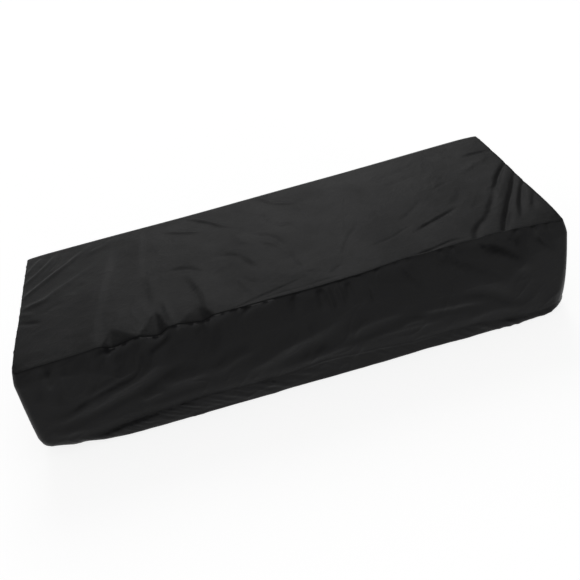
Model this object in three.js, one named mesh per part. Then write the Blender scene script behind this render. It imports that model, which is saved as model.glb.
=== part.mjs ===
// Fitted dust cover for a portable keyboard, as it sits over the instrument: five sewn panels of thin
// coated taffeta, hollow and open underneath, with a gathered hem drawn in round the foot.
// Millimetres, +Z up. The origin is under the middle of the cover, level with the hem; the front is -Y.
import * as THREE from "three";

// Driving dimensions.
const LENGTH = 1006; // between the end walls, at the seam
const DEPTH = 416; // between the front and back walls, at the seam
const HEIGHT = 197; // from the hem's underside to the top panel
const LEAN = { front: 6, right: 1, back: 6, left: 7 }; // how far each wall's foot stands out past its seam
const CLOTH = 2; // thickness of each panel
const SEAM_GAP = 0.3; // between two panels where they are sewn together
const HEM = 54; // width of the gathered hem, from its crease to its free edge
const MITRE = 120; // length of wall next to a corner over which the hem's rows are drawn together

const HALF_X = LENGTH / 2;
const HALF_Y = DEPTH / 2;

// The leaning top of a wall. least: its height where the seam is right over the wall; share: height for each
// millimetre that the seam lies further in; power: how much steeper it gets on the way down.
const SHOULDER = { least: 5, share: 4, power: 1.2 };

// Upright corners. radius: in plan at the seam; foot: in plan at the hem; rise: how steeply the one turns
// into the other; sag: how far the top panel's corner hangs, over spread.
const CORNERS = [
  { x: -1, y: -1, radius: 12, foot: 24, rise: 3.0, sag: 3, spread: 26 },
  { x: 1, y: -1, radius: 8, foot: 50, rise: 3.0, sag: 4, spread: 30 },
  { x: 1, y: 1, radius: 10, foot: 26, rise: 2.4, sag: 1.5, spread: 26 },
  { x: -1, y: 1, radius: 9, foot: 24, rise: 2.2, sag: 1.5, spread: 26 },
];

// Each wall along its own length. at: the place on the wall; seam: how far the seam lies inside the wall;
// curl: the radius that the hem turns under with; under: the flat stretch of hem past the curl; lift: the
// height of the hem off the ground.
const WALLS = {
  front: [
    { at: -500, seam: 5, curl: 34, under: 12, lift: 10 },
    { at: -440, seam: 5, curl: 30, under: 14, lift: 3 },
    { at: -390, seam: 7, curl: 20, under: 20, lift: 0 },
    { at: -345, seam: 11, curl: 10, under: 20, lift: 0 },
    { at: -284, seam: 12, curl: 7, under: 16, lift: 1 },
    { at: -190, seam: 16, curl: 7, under: 10, lift: 0 },
    { at: -120, seam: 13, curl: 7, under: 14, lift: 0 },
    { at: -49, seam: 12, curl: 7, under: 16, lift: 1 },
    { at: 34, seam: 9, curl: 7, under: 5, lift: 0 },
    { at: 112, seam: 11, curl: 7, under: 12, lift: 0 },
    { at: 210, seam: 20, curl: 7, under: 22, lift: 1 },
    { at: 320, seam: 20, curl: 7, under: 25, lift: 0 },
    { at: 382, seam: 20, curl: 8, under: 33, lift: 0 },
    { at: 448, seam: 11, curl: 10, under: 36, lift: 0 },
    { at: 500, seam: 5, curl: 14, under: 26, lift: 2 },
  ],
  right: [
    { at: -205, seam: 5, curl: 14, under: 26, lift: 2 },
    { at: -120, seam: 4, curl: 11, under: 26, lift: 0 },
    { at: -30, seam: 5, curl: 8, under: 18, lift: 1 },
    { at: 70, seam: 4, curl: 9, under: 20, lift: 0 },
    { at: 205, seam: 4, curl: 18, under: 14, lift: 2 },
  ],
  back: [
    { at: 500, seam: 4, curl: 18, under: 14, lift: 2 },
    { at: 410, seam: 4, curl: 11, under: 20, lift: 0 },
    { at: 250, seam: 5, curl: 7, under: 13, lift: 0 },
    { at: 60, seam: 4, curl: 8, under: 21, lift: 1 },
    { at: -150, seam: 6, curl: 7, under: 12, lift: 0 },
    { at: -350, seam: 4, curl: 10, under: 18, lift: 0 },
    { at: -500, seam: 4, curl: 21, under: 13, lift: 2 },
  ],
  left: [
    { at: 205, seam: 4, curl: 21, under: 13, lift: 2 },
    { at: 90, seam: 4, curl: 12, under: 16, lift: 0 },
    { at: -20, seam: 5, curl: 9, under: 14, lift: 1 },
    { at: -110, seam: 4, curl: 16, under: 14, lift: 1 },
    { at: -205, seam: 5, curl: 34, under: 12, lift: 10 },
  ],
};

// Folds of the top panel, each along a curve from one place past another to a third, in plan.
// width: how far the fold reaches to either side; height: of a ridge, or of a hollow where it is negative.
const TOP_FOLDS = [
  { from: [510, 60], past: [438, -41], to: [376, -142], width: 12, height: -5 },
  { from: [512, 22], past: [450, -83], to: [386, -196], width: 12, height: -5.5 },
  { from: [512, -14], past: [470, -94], to: [438, -166], width: 11, height: -5 },
  { from: [510, -52], past: [493, -116], to: [466, -172], width: 10, height: -2.5 },
  { from: [506, 40], past: [444, -64], to: [396, -152], width: 11, height: 3 },
  { from: [508, 101], past: [456, 110], to: [400, 108], width: 12, height: -2.5 },
  { from: [483, 67], past: [400, 42], to: [316, 8], width: 14, height: -1.5 },
  { from: [360, -68], past: [316, -89], to: [262, -116], width: 11, height: -3.5 },
  { from: [276, -87], past: [190, -110], to: [112, -128], width: 12, height: -1.5 },
  { from: [376, 30], past: [345, 13], to: [312, -8], width: 12, height: -2 },
  { from: [340, -180], past: [291, -174], to: [242, -190], width: 10, height: -2.5 },
  { from: [-508, 116], past: [-474, 148], to: [-446, 180], width: 10, height: 3.5 },
  { from: [-508, 68], past: [-467, 121], to: [-426, 182], width: 10, height: 4 },
  { from: [-508, 20], past: [-425, 98], to: [-336, 196], width: 12, height: 4.5 },
  { from: [-508, -10], past: [-414, 32], to: [-300, 162], width: 12, height: 4 },
  { from: [-508, -46], past: [-475, -42], to: [-453, -18], width: 10, height: 3 },
  { from: [-506, -60], past: [-478, -65], to: [-450, -70], width: 10, height: -2 },
  { from: [-352, -186], past: [-336, -50], to: [-310, 136], width: 16, height: 4 },
  { from: [-272, -20], past: [-256, 64], to: [-246, 146], width: 15, height: 3 },
  { from: [-214, -14], past: [-221, -100], to: [-205, -190], width: 12, height: 3.5 },
  { from: [-176, -24], past: [-144, -96], to: [-124, -182], width: 13, height: 4 },
  { from: [-74, -18], past: [-48, -60], to: [-42, -138], width: 12, height: 2.5 },
  { from: [-232, 4], past: [-190, -18], to: [-136, -52], width: 12, height: -2.5 },
  { from: [-134, 6], past: [-80, -6], to: [-38, -104], width: 11, height: -2.5 },
  { from: [-158, 174], past: [-112, 130], to: [-50, 80], width: 14, height: 2 },
  { from: [-42, 44], past: [-8, -20], to: [24, -70], width: 12, height: 2 },
  { from: [0, 174], past: [34, 130], to: [78, 112], width: 13, height: 1.5 },
  { from: [-98, -186], past: [20, -152], to: [130, -176], width: 11, height: 3 },
];

// Hollows of the top panel that stand on the front seam. at: their middle; half: half their width; reach: how
// far they run up the panel; drop: their depth at the seam.
const SEAM_HOLLOWS = [
  { at: -314, half: 34, reach: 22, drop: 6 },
  { at: -229, half: 26, reach: 28, drop: 5 },
  { at: -146, half: 36, reach: 18, drop: 5 },
];

// Broad swells of the top panel, by their middle and half widths.
const TOP_SWELLS = [
  { at: [-150, -60], size: [150, 90], height: -2.5 },
  { at: [130, 40], size: [190, 110], height: 2 },
  { at: [-380, -60], size: [90, 100], height: 1.5 },
  { at: [440, 200], size: [240, 110], height: 3.5 },
  { at: [500, 40], size: [90, 150], height: 4 },
];

// Folds of each wall, along a curve of [place on the wall, height above the ground]; columns as above.
const WALL_FOLDS = {
  front: [
    { from: [-472, 53], past: [-388, 84], to: [-304, 130], width: 12, height: -2.5 },
    { from: [-456, 66], past: [-346, 102], to: [-222, 168], width: 15, height: 4.5 },
    { from: [-415, 66], past: [-304, 88], to: [-187, 120], width: 12, height: -3.5 },
    { from: [-374, 70], past: [-320, 95], to: [-266, 124], width: 11, height: 2.5 },
    { from: [-391, 58], past: [-307, 82], to: [-234, 110], width: 10, height: -2 },
    { from: [-312, 60], past: [-244, 74], to: [-170, 84], width: 12, height: 3 },
    { from: [-300, 60], past: [-173, 80], to: [-60, 108], width: 17, height: 6 },
    { from: [-262, 52], past: [-170, 62], to: [-80, 80], width: 11, height: -2.5 },
    { from: [-116, 46], past: [0, 83], to: [130, 120], width: 18, height: 8 },
    { from: [-52, 58], past: [9, 71], to: [66, 87], width: 12, height: -5 },
    { from: [-34, 36], past: [40, 47], to: [122, 52], width: 12, height: 4 },
    { from: [60, 66], past: [110, 80], to: [168, 92], width: 12, height: 4 },
    { from: [96, 96], past: [174, 108], to: [250, 104], width: 11, height: 2 },
    { from: [160, 54], past: [241, 74], to: [336, 66], width: 14, height: 4.5 },
    { from: [196, 88], past: [264, 94], to: [330, 84], width: 11, height: 2.5 },
    { from: [238, 66], past: [285, 63], to: [336, 56], width: 11, height: -3 },
    { from: [276, 106], past: [345, 82], to: [432, 28], width: 13, height: -4 },
    { from: [250, 160], past: [307, 134], to: [364, 93], width: 13, height: 3 },
    { from: [270, 186], past: [326, 144], to: [398, 98], width: 12, height: -3.5 },
    { from: [334, 198], past: [384, 159], to: [436, 118], width: 12, height: -3.5 },
    { from: [352, 194], past: [398, 162], to: [444, 132], width: 10, height: 2.5 },
    { from: [444, 190], past: [460, 168], to: [475, 147], width: 10, height: -2.5 },
    { from: [163, 193], past: [130, 160], to: [102, 126], width: 12, height: -3 },
    { from: [84, 192], past: [65, 160], to: [50, 130], width: 11, height: -2.5 },
    { from: [-462, 192], past: [-452, 156], to: [-456, 118], width: 12, height: -2 },
    { from: [-330, 144], past: [-270, 160], to: [-214, 182], width: 11, height: -2 },
  ],
  right: [
    { from: [-170, 182], past: [-110, 120], to: [-80, 40], width: 16, height: 4 },
    { from: [-120, 184], past: [-84, 130], to: [-62, 60], width: 13, height: -3.5 },
    { from: [-20, 186], past: [-10, 120], to: [-34, 50], width: 15, height: 3 },
    { from: [60, 184], past: [44, 120], to: [66, 36], width: 15, height: -3.5 },
    { from: [150, 178], past: [112, 110], to: [104, 44], width: 14, height: 3.5 },
  ],
  back: [
    { from: [430, 178], past: [360, 120], to: [330, 46], width: 16, height: 4 },
    { from: [360, 184], past: [310, 116], to: [220, 70], width: 14, height: -4 },
    { from: [240, 186], past: [214, 120], to: [236, 44], width: 15, height: 3 },
    { from: [150, 120], past: [70, 84], to: [-60, 72], width: 15, height: 4 },
    { from: [60, 186], past: [40, 150], to: [-10, 112], width: 13, height: -3.5 },
    { from: [-110, 184], past: [-140, 130], to: [-120, 56], width: 15, height: -3 },
    { from: [-190, 96], past: [-270, 78], to: [-350, 100], width: 14, height: 3.5 },
    { from: [-260, 186], past: [-300, 130], to: [-370, 60], width: 15, height: -4 },
    { from: [-420, 180], past: [-400, 110], to: [-424, 48], width: 15, height: 3.5 },
  ],
  left: [
    { from: [160, 182], past: [120, 120], to: [112, 46], width: 15, height: 3.5 },
    { from: [90, 186], past: [60, 130], to: [70, 60], width: 14, height: -3.5 },
    { from: [10, 120], past: [-50, 90], to: [-120, 96], width: 15, height: 3.5 },
    { from: [-40, 186], past: [-64, 130], to: [-48, 40], width: 14, height: -3 },
    { from: [-140, 180], past: [-110, 110], to: [-140, 56], width: 14, height: 3 },
  ],
};

// Gathers of the hem, a sum of waves along the wall. pitch: between two gathers; depth: to either side.
const GATHERS = [
  { pitch: 61, depth: 0.9 },
  { pitch: 43, depth: 0.8 },
];
const CREASE = { depth: 3.5, width: 9 }; // groove where the hem is drawn in
const EDGE_DIP = { drop: 1, width: 14 }; // how the top panel bends down towards its seam
const BACK_ROLL = { drop: 3, width: 22 }; // and how it rolls over towards the back one
const FADE = { edge: 26, kept: 0.4, corner: 40 }; // folds flatten towards the seam and the upright corners
const TAPER = { start: 0.4, rise: 0.3, finish: 0.1, fall: 0.4 }; // of a fold, from its start to its finish
const CALM = { seam: 16, hem: 0.07 }; // a wall's folds begin over this drop, and end over this stage
const LEAST_RADIUS = 4; // of a corner in plan, where the hem is drawn under it
const CURVE_STEPS = 8; // straight steps that a fold's curve is measured along
const STEP = { along: 0.5, stage: 0.01 }; // between the places that a slope is measured from

// Rows of a wall, by stage: 0 at the seam, 1 under the shoulder, 2 at the hem's crease and 3 at its edge.
const WALL_ROWS = [0, 0.08, 0.25, 0.5, 0.75, 1, 1.15, 1.32, 1.49, 1.66, 1.83, 2, 2.25, 2.5, 2.75, 3];

const clamp = (value, low, high) => Math.min(high, Math.max(low, value));
const soft = (share) => share * share * (3 - 2 * share);

// Evenly spread values from one place to another, with the finish included and the start left out.
function spread(from, to, count) {
  return Array.from({ length: count }, (_, i) => from + ((to - from) * (i + 1)) / count);
}

// Grid lines from end to end, closer together near the corners.
const RIM_BANDS = [
  { width: 16, cells: 3 },
  { width: 30, cells: 2 },
];
function gridLines(half, middleCells) {
  const near = [-half];
  for (const { width, cells } of RIM_BANDS) near.push(...spread(near.at(-1), near.at(-1) + width, cells));
  const far = near.map((line) => -line).reverse();
  return [...near, ...spread(near.at(-1), far[0], middleCells).slice(0, -1), ...far];
}

// The top panel's grid, which the walls' places along their seams follow.
const COLUMNS = gridLines(HALF_X, 46);
const LINES = gridLines(HALF_Y, 15);

// A column of a table, read smoothly between its rows.
function tableAt(rows, at, column) {
  const ordered = rows[0].at > rows.at(-1).at ? rows.toReversed() : rows;
  const place = clamp(at, ordered[0].at, ordered.at(-1).at);
  const next = Math.max(1, ordered.findIndex((row) => row.at >= place));
  const [a, b] = [ordered[next - 1], ordered[next]];
  return THREE.MathUtils.lerp(a[column], b[column], soft((place - a.at) / (b.at - a.at)));
}

// Folds with their curves worked out as short straight runs.
function withCurves(folds) {
  return folds.map((fold) => {
    const [from, past, to] = [fold.from, fold.past, fold.to].map((place) => new THREE.Vector2(...place));
    const bend = past.multiplyScalar(2).addScaledVector(from, -0.5).addScaledVector(to, -0.5);
    return { ...fold, points: new THREE.QuadraticBezierCurve(from, bend, to).getPoints(CURVE_STEPS) };
  });
}

// Distance from a place to a fold's curve, and the share of the curve before the nearest point.
function nearestOn(fold, place) {
  let best = { distance: Infinity, along: 0 };
  for (let i = 0; i < CURVE_STEPS; i++) {
    const start = fold.points[i];
    const run = fold.points[i + 1].clone().sub(start);
    const share = clamp(place.clone().sub(start).dot(run) / run.lengthSq(), 0, 1);
    const distance = place.distanceTo(start.clone().addScaledVector(run, share));
    if (distance < best.distance) best = { distance, along: (i + share) / CURVE_STEPS };
  }
  return best;
}

// Height that all the folds give a place: each starts at part height and runs out softly.
function relief(folds, u, v) {
  const place = new THREE.Vector2(u, v);
  return folds.reduce((sum, fold) => {
    const { distance, along } = nearestOn(fold, place);
    const begun = soft(Math.min(1, TAPER.start + along / TAPER.rise));
    const ending = soft(Math.min(1, TAPER.finish + (1 - along) / TAPER.fall));
    return sum + fold.height * begun * ending * Math.exp(-((distance / fold.width) ** 2));
  }, 0);
}

const topFolds = withCurves(TOP_FOLDS);
const wallFolds = Object.fromEntries(
  Object.entries(WALL_FOLDS).map(([side, folds]) => [side, withCurves(folds)]),
);

// The four walls, counter-clockwise from above. spot: a place on the wall as a point of the top's grid;
// start: distance round the cover from the front left corner to the wall's first end.
const SIDES = {
  front: { ends: [-HALF_X, HALF_X], spot: (at) => [at, -HALF_Y], start: 0 },
  right: { ends: [-HALF_Y, HALF_Y], spot: (at) => [HALF_X, at], start: LENGTH },
  back: { ends: [HALF_X, -HALF_X], spot: (at) => [at, HALF_Y], start: LENGTH + DEPTH },
  left: { ends: [HALF_Y, -HALF_Y], spot: (at) => [-HALF_X, at], start: 2 * LENGTH + DEPTH },
};
const ROUND = ["front", "right", "back", "left"];

// A grid value drawn inwards by an inset, which works only near its own end.
function drawnIn(value, half, inset) {
  const near = Math.max(0, (Math.abs(value) - half + MITRE) / MITRE);
  return Math.sign(value) * (Math.abs(value) - inset * near);
}

// A grid point in plan: a rectangle drawn in by its insets, with round corners.
function plan(gx, gy, insetX, insetY, radiusOf) {
  const x = drawnIn(gx, HALF_X, insetX);
  const y = drawnIn(gy, HALF_Y, insetY);
  const corner = CORNERS.find((each) => each.x === Math.sign(x) && each.y === Math.sign(y));
  if (!corner) return [x, y];
  const radius = radiusOf(corner);
  const [midX, midY] = [HALF_X - insetX - radius, HALF_Y - insetY - radius];
  const [a, b] = [(Math.abs(x) - midX) / radius, (Math.abs(y) - midY) / radius];
  if (a <= 0 || b <= 0) return [x, y];
  return [
    corner.x * (midX + radius * a * Math.sqrt(1 - (b * b) / 2)),
    corner.y * (midY + radius * b * Math.sqrt(1 - (a * a) / 2)),
  ];
}

// A point of the top panel, by its grid point.
function topPoint(gx, gy) {
  const insetX = tableAt(gx < 0 ? WALLS.left : WALLS.right, gy, "seam");
  const insetY = tableAt(gy < 0 ? WALLS.front : WALLS.back, gx, "seam");
  const [x, y] = plan(gx, gy, insetX, insetY, (corner) => corner.radius);
  const edge = Math.min(HALF_X - Math.abs(gx), HALF_Y - Math.abs(gy));
  const calm = FADE.kept + (1 - FADE.kept) * soft(clamp(edge / FADE.edge, 0, 1));
  let z = HEIGHT - EDGE_DIP.drop * soft(clamp(1 - edge / EDGE_DIP.width, 0, 1));
  z -= BACK_ROLL.drop * soft(clamp(1 - (HALF_Y - gy) / BACK_ROLL.width, 0, 1));
  z += calm * relief(topFolds, x, y);
  for (const { at, half, reach, drop } of SEAM_HOLLOWS) {
    z -= drop * Math.exp(-(((x - at) / half) ** 2) - ((gy + HALF_Y) / reach) ** 2);
  }
  for (const { at, size, height } of TOP_SWELLS) {
    z += height * Math.exp(-(((x - at[0]) / size[0]) ** 2) - ((y - at[1]) / size[1]) ** 2);
  }
  for (const corner of CORNERS) {
    const away = Math.hypot(x - corner.x * HALF_X, y - corner.y * HALF_Y);
    z -= corner.sag * Math.exp(-((away / corner.spread) ** 2));
  }
  return new THREE.Vector3(x, y, z);
}

// The walls' ring at a height, drawn in by an inset. Walls lean out and their corners widen on the way down.
function ringPoint(gx, gy, inset, z) {
  const depth = 1 - z / HEIGHT;
  const radiusOf = ({ radius, foot, rise }) => {
    return Math.max(LEAST_RADIUS, THREE.MathUtils.lerp(radius, foot, depth ** rise) - inset);
  };
  const insetX = inset - depth * (gx < 0 ? LEAN.left : LEAN.right);
  const insetY = inset - depth * (gy < 0 ? LEAN.front : LEAN.back);
  return new THREE.Vector3(...plan(gx, gy, insetX, insetY, radiusOf), z);
}

// Height of a wall's shoulder.
function shoulderDrop(side, at) {
  return SHOULDER.least + SHOULDER.share * tableAt(WALLS[side], at, "seam");
}

// The lengths down a wall's section, from under the shoulder: straight, round the curl, and to the crease.
function section(side, at, shoulderZ) {
  const [curl, under, lift] = ["curl", "under", "lift"].map((column) => tableAt(WALLS[side], at, column));
  const straight = shoulderZ - lift - curl;
  const arc = (curl * Math.PI) / 2;
  return { curl, lift, straight, arc, crease: straight + arc + under - HEM };
}

// A point of a wall before its folds, by its place along the wall and its stage down it.
function plainWall(side, at, stage) {
  const [gx, gy] = SIDES[side].spot(at);
  const seam = topPoint(gx, gy);
  const drop = shoulderDrop(side, at);
  const shoulderZ = seam.z - drop;
  if (stage <= 1) {
    const out = 1 - (1 - stage) ** SHOULDER.power;
    return seam.clone().lerp(ringPoint(gx, gy, 0, shoulderZ), out).setZ(seam.z - drop * stage);
  }
  const { curl, lift, straight, arc, crease } = section(side, at, shoulderZ);
  const down = stage <= 2 ? crease * (stage - 1) : crease + HEM * (stage - 2);
  if (down <= straight) return ringPoint(gx, gy, 0, shoulderZ - down);
  const turn = Math.min(1, (down - straight) / arc) * (Math.PI / 2);
  const flat = Math.max(0, down - straight - arc);
  const inset = curl * (1 - Math.cos(turn)) + flat;
  return ringPoint(gx, gy, inset, lift + curl * (1 - Math.sin(turn)));
}

// Unit slopes of a surface along and across a place, from places a small step apart inside its range.
function slopes(pointAt, place, ranges, steps) {
  return [0, 1].map((axis) => {
    const [low, high] = [-1, 1].map((way) => {
      const moved = [...place];
      moved[axis] = clamp(place[axis] + way * steps[axis], ...ranges[axis]);
      return pointAt(...moved);
    });
    return high.sub(low).normalize();
  });
}

// Slopes of a wall, along it counter-clockwise and down it.
function wallSlopes(side, pointAt, at, stage) {
  const ends = SIDES[side].ends;
  const ranges = [[Math.min(...ends), Math.max(...ends)], [0, 3]];
  const [along, down] = slopes((u, v) => pointAt(side, u, v), [at, stage], ranges, [STEP.along, STEP.stage]);
  return [along.multiplyScalar(Math.sign(ends[1] - ends[0])), down];
}

// How far a wall's cloth stands out at a place: folds, the crease over the hem, and the hem's gathers.
function wallRelief(side, at, stage, z) {
  const ends = SIDES[side].ends;
  const corner = soft(clamp(Math.min(Math.abs(at - ends[0]), Math.abs(at - ends[1])) / FADE.corner, 0, 1));
  const drop = shoulderDrop(side, at);
  const belowSeam = soft(clamp((stage * drop) / CALM.seam, 0, 1));
  const aboveHem = soft(clamp((2 - stage) / CALM.hem + 1, 0, 1));
  const pastCrease = (stage - 2) * (stage < 2 ? section(side, at, HEIGHT - drop).crease : HEM);
  const groove = -CREASE.depth * Math.exp(-((pastCrease / CREASE.width) ** 2));
  const gathered = soft(clamp(1 + pastCrease / HEM, 0, 1));
  const round = 2 * Math.PI * (SIDES[side].start + Math.abs(at - ends[0]));
  const waves = GATHERS.reduce((sum, { pitch, depth }) => sum + depth * Math.sin(round / pitch), 0);
  return belowSeam * corner * (aboveHem * relief(wallFolds[side], at, z) + groove + gathered * waves);
}

// A point of a wall with its folds, no lower than the ground.
function wallPoint(side, at, stage) {
  const point = plainWall(side, at, stage);
  const [along, down] = wallSlopes(side, plainWall, at, stage);
  point.addScaledVector(down.cross(along).normalize(), wallRelief(side, at, stage, point.z));
  return point.setZ(Math.max(0, point.z));
}

// Slopes and outward normal of a wall with its folds.
function wallFrame(side, at, stage) {
  const [along, down] = wallSlopes(side, wallPoint, at, stage);
  return { along, down, normal: down.clone().cross(along).normalize() };
}

// Outward normal of the top panel.
function topNormal(gx, gy) {
  const ranges = [[-HALF_X, HALF_X], [-HALF_Y, HALF_Y]];
  const [along, across] = slopes(topPoint, [gx, gy], ranges, [STEP.along, STEP.along]);
  return along.cross(across).normalize();
}

// The place on the next or last wall that a wall's end is sewn to.
function neighbourOf(side, at) {
  const end = SIDES[side].ends.indexOf(at);
  if (end < 0) return null;
  const other = ROUND[(ROUND.indexOf(side) + (end ? 1 : ROUND.length - 1)) % ROUND.length];
  return [other, SIDES[other].ends[1 - end]];
}

// Slopes and normal of a wall at a place, the mean over the panels that meet there.
function sharedFrame(side, at, stage) {
  const frames = [wallFrame(side, at, stage)];
  const neighbour = neighbourOf(side, at);
  if (neighbour) frames.push(wallFrame(...neighbour, stage));
  const mean = (part) => frames.reduce((sum, frame) => sum.add(frame[part]), new THREE.Vector3()).normalize();
  const [along, down, normal] = [mean("along"), mean("down"), mean("normal")];
  if (stage === 0) normal.add(topNormal(...SIDES[side].spot(at))).normalize();
  return { along, down, normal };
}

// A closed solid of a sheet, from rows of outer points with their normals; its back is one cloth further in.
// The direction from row to row, crossed with the direction along a row, points outwards.
function clothSolid(rows) {
  const [rowCount, placeCount] = [rows.length, rows[0].length];
  const outer = rows.flat().map(({ point }) => point);
  const inner = rows.flat().map(({ point, normal }) => point.clone().addScaledVector(normal, -CLOTH));
  const id = ([row, place], face) => face * outer.length + row * placeCount + place;
  const index = [];
  const quad = (a, b, c, d) => index.push(a, b, c, a, c, d);
  for (let row = 0; row < rowCount - 1; row++) {
    for (let place = 0; place < placeCount - 1; place++) {
      const corners = [[row, place], [row + 1, place], [row + 1, place + 1], [row, place + 1]];
      quad(...corners.map((corner) => id(corner, 0)));
      quad(...corners.toReversed().map((corner) => id(corner, 1)));
    }
  }
  const [lastRow, lastPlace] = [rowCount - 1, placeCount - 1];
  const rim = [
    ...Array.from({ length: lastRow }, (_, step) => [step, 0]),
    ...Array.from({ length: lastPlace }, (_, step) => [lastRow, step]),
    ...Array.from({ length: lastRow }, (_, step) => [lastRow - step, lastPlace]),
    ...Array.from({ length: lastPlace }, (_, step) => [0, lastPlace - step]),
  ];
  rim.forEach((here, step) => {
    const next = rim[(step + 1) % rim.length];
    quad(id(next, 0), id(here, 0), id(here, 1), id(next, 1));
  });
  const positions = [...outer, ...inner].flatMap((point) => point.toArray());
  const geometry = new THREE.BufferGeometry();
  geometry.setAttribute("position", new THREE.Float32BufferAttribute(positions, 3));
  geometry.setIndex(index);
  geometry.computeVertexNormals();
  return geometry;
}

// The wall place that a grid point of the top panel is sewn to, if it is on the panel's rim.
function rimPlace(gx, gy) {
  if (Math.abs(gy) === HALF_Y) return [gy < 0 ? "front" : "back", gx];
  if (Math.abs(gx) === HALF_X) return [gx < 0 ? "left" : "right", gy];
  return null;
}

// The top panel. Its rim stands back from the seam by half the gap.
function topGeometry() {
  const vertex = (gx, gy) => {
    const point = topPoint(gx, gy);
    const place = rimPlace(gx, gy);
    if (!place) return { point, normal: topNormal(gx, gy) };
    const { along, normal } = sharedFrame(...place, 0);
    const back = (SEAM_GAP / 2) * (neighbourOf(...place) ? Math.SQRT2 : 1);
    return { point: point.addScaledVector(normal.clone().cross(along).normalize(), back), normal };
  };
  return clothSolid(COLUMNS.map((gx) => LINES.map((gy) => vertex(gx, gy))));
}

// A wall. Its top row and both its ends stand back from their seams by half the gap.
function wallGeometry(side) {
  const grid = side === "front" || side === "back" ? COLUMNS : LINES;
  const ends = SIDES[side].ends;
  const places = ends[0] < ends[1] ? grid : grid.toReversed();
  const vertex = (at, stage) => {
    const point = wallPoint(side, at, stage);
    const { along, down, normal } = sharedFrame(side, at, stage);
    const end = ends.indexOf(at);
    if (stage === 0) point.addScaledVector(along.clone().cross(normal).normalize(), SEAM_GAP / 2);
    if (end >= 0) point.addScaledVector(normal.clone().cross(down).normalize(), (0.5 - end) * SEAM_GAP);
    return { point, normal };
  };
  return clothSolid(WALL_ROWS.map((stage) => places.map((at) => vertex(at, stage))));
}

// A panel of the cover, in the black taffeta that all of them are cut from.
function panel(name, geometry) {
  const taffeta = new THREE.MeshStandardMaterial({ color: 0x232326, roughness: 0.55, metalness: 0 });
  const mesh = new THREE.Mesh(geometry, taffeta);
  mesh.name = name;
  return mesh;
}

const cover = new THREE.Group();
cover.add(panel("top_panel", topGeometry()));
cover.add(panel("front_panel", wallGeometry("front")));
cover.add(panel("back_panel", wallGeometry("back")));
cover.add(panel("left_end", wallGeometry("left")));
cover.add(panel("right_end", wallGeometry("right")));

export default cover;
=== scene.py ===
"""Fitted taffeta dust cover for a keyboard piano, dressed and set in a plain studio.

The cover is five sewn panels of thin black taffeta: a top, a front, a back and two ends. Each wall hangs
from the top's seam and ends in a gathered hem that is drawn in under the foot. Shapes are worked out in
millimetres and written to the meshes in metres.
"""

import logging
import math
from dataclasses import dataclass, field
from enum import Enum

import bpy
import numpy as np
from mathutils import Matrix, Vector


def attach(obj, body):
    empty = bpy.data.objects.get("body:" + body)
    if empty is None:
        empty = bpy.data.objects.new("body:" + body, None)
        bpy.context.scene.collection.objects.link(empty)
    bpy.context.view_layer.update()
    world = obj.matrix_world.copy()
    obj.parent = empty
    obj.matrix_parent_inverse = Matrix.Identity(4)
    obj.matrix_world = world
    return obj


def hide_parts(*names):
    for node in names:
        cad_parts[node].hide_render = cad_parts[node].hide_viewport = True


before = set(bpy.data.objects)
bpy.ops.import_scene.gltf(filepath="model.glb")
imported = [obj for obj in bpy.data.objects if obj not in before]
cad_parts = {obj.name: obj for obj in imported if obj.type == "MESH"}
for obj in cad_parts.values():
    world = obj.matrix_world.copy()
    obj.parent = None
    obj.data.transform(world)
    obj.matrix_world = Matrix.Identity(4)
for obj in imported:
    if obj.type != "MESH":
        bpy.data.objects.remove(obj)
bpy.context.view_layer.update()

LOG = logging.getLogger("cover")
MM = 0.001
Place = tuple[float, float]
Rows = tuple[tuple[float, ...], ...]

FOLD_REACH = 2.6  # widths past which a fold has died out
START_TAPER = (0.25, 0.35)  # share of a fold's rise where it starts, and of its length that adds a whole one
END_TAPER = (0.1, 0.4)  # the same where it ends
CREST_BLEND = 3.0  # width of crest over which its left reach turns into its right
GATHER_CRISP = 1.6  # how round a gather is: 2 round, towards 1 sharp
HOLLOW_CURVE = 1.5  # how the outline of a seam's hollow curves: 1 straight, 2 round
NO_STITCH = 99.0  # distance from a stitched line where there is none


class Side(Enum):
    """The walls, counter-clockwise from above."""

    FRONT = "front"
    RIGHT = "right"
    BACK = "back"
    LEFT = "left"


def ease(share: np.ndarray) -> np.ndarray:
    """A share from 0 to 1, eased at both ends."""
    share = np.clip(share, 0.0, 1.0)
    return share * share * (3.0 - 2.0 * share)


def bell(distance: np.ndarray, width: np.ndarray | float) -> np.ndarray:
    """A rounded bump of height 1."""
    return np.exp(-((distance / width) ** 2))


def smooth_noise(u: np.ndarray, v: np.ndarray, seed: int) -> np.ndarray:
    """Seeded gradient noise with a grain of one unit.

    Args:
        u: first coordinate of each place.
        v: second coordinate of each place.
        seed: seed of the pattern.

    Returns:
        Noise at each place, about -0.7 to 0.7.
    """
    size = 128
    angles = np.random.default_rng(seed).uniform(0.0, 2.0 * math.pi, (size, size))
    cell_u, cell_v = np.floor(u).astype(int), np.floor(v).astype(int)
    part_u, part_v = u - cell_u, v - cell_v

    def pull(step_u: int, step_v: int) -> np.ndarray:
        """What one lattice point gives a place."""
        turn = angles[(cell_u + step_u) % size, (cell_v + step_v) % size]
        return np.cos(turn) * (part_u - step_u) + np.sin(turn) * (part_v - step_v)

    ease_u = part_u**3 * (part_u * (6.0 * part_u - 15.0) + 10.0)
    ease_v = part_v**3 * (part_v * (6.0 * part_v - 15.0) + 10.0)
    low = pull(0, 0) * (1.0 - ease_u) + pull(1, 0) * ease_u
    high = pull(0, 1) * (1.0 - ease_u) + pull(1, 1) * ease_u
    return low * (1.0 - ease_v) + high * ease_v


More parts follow.
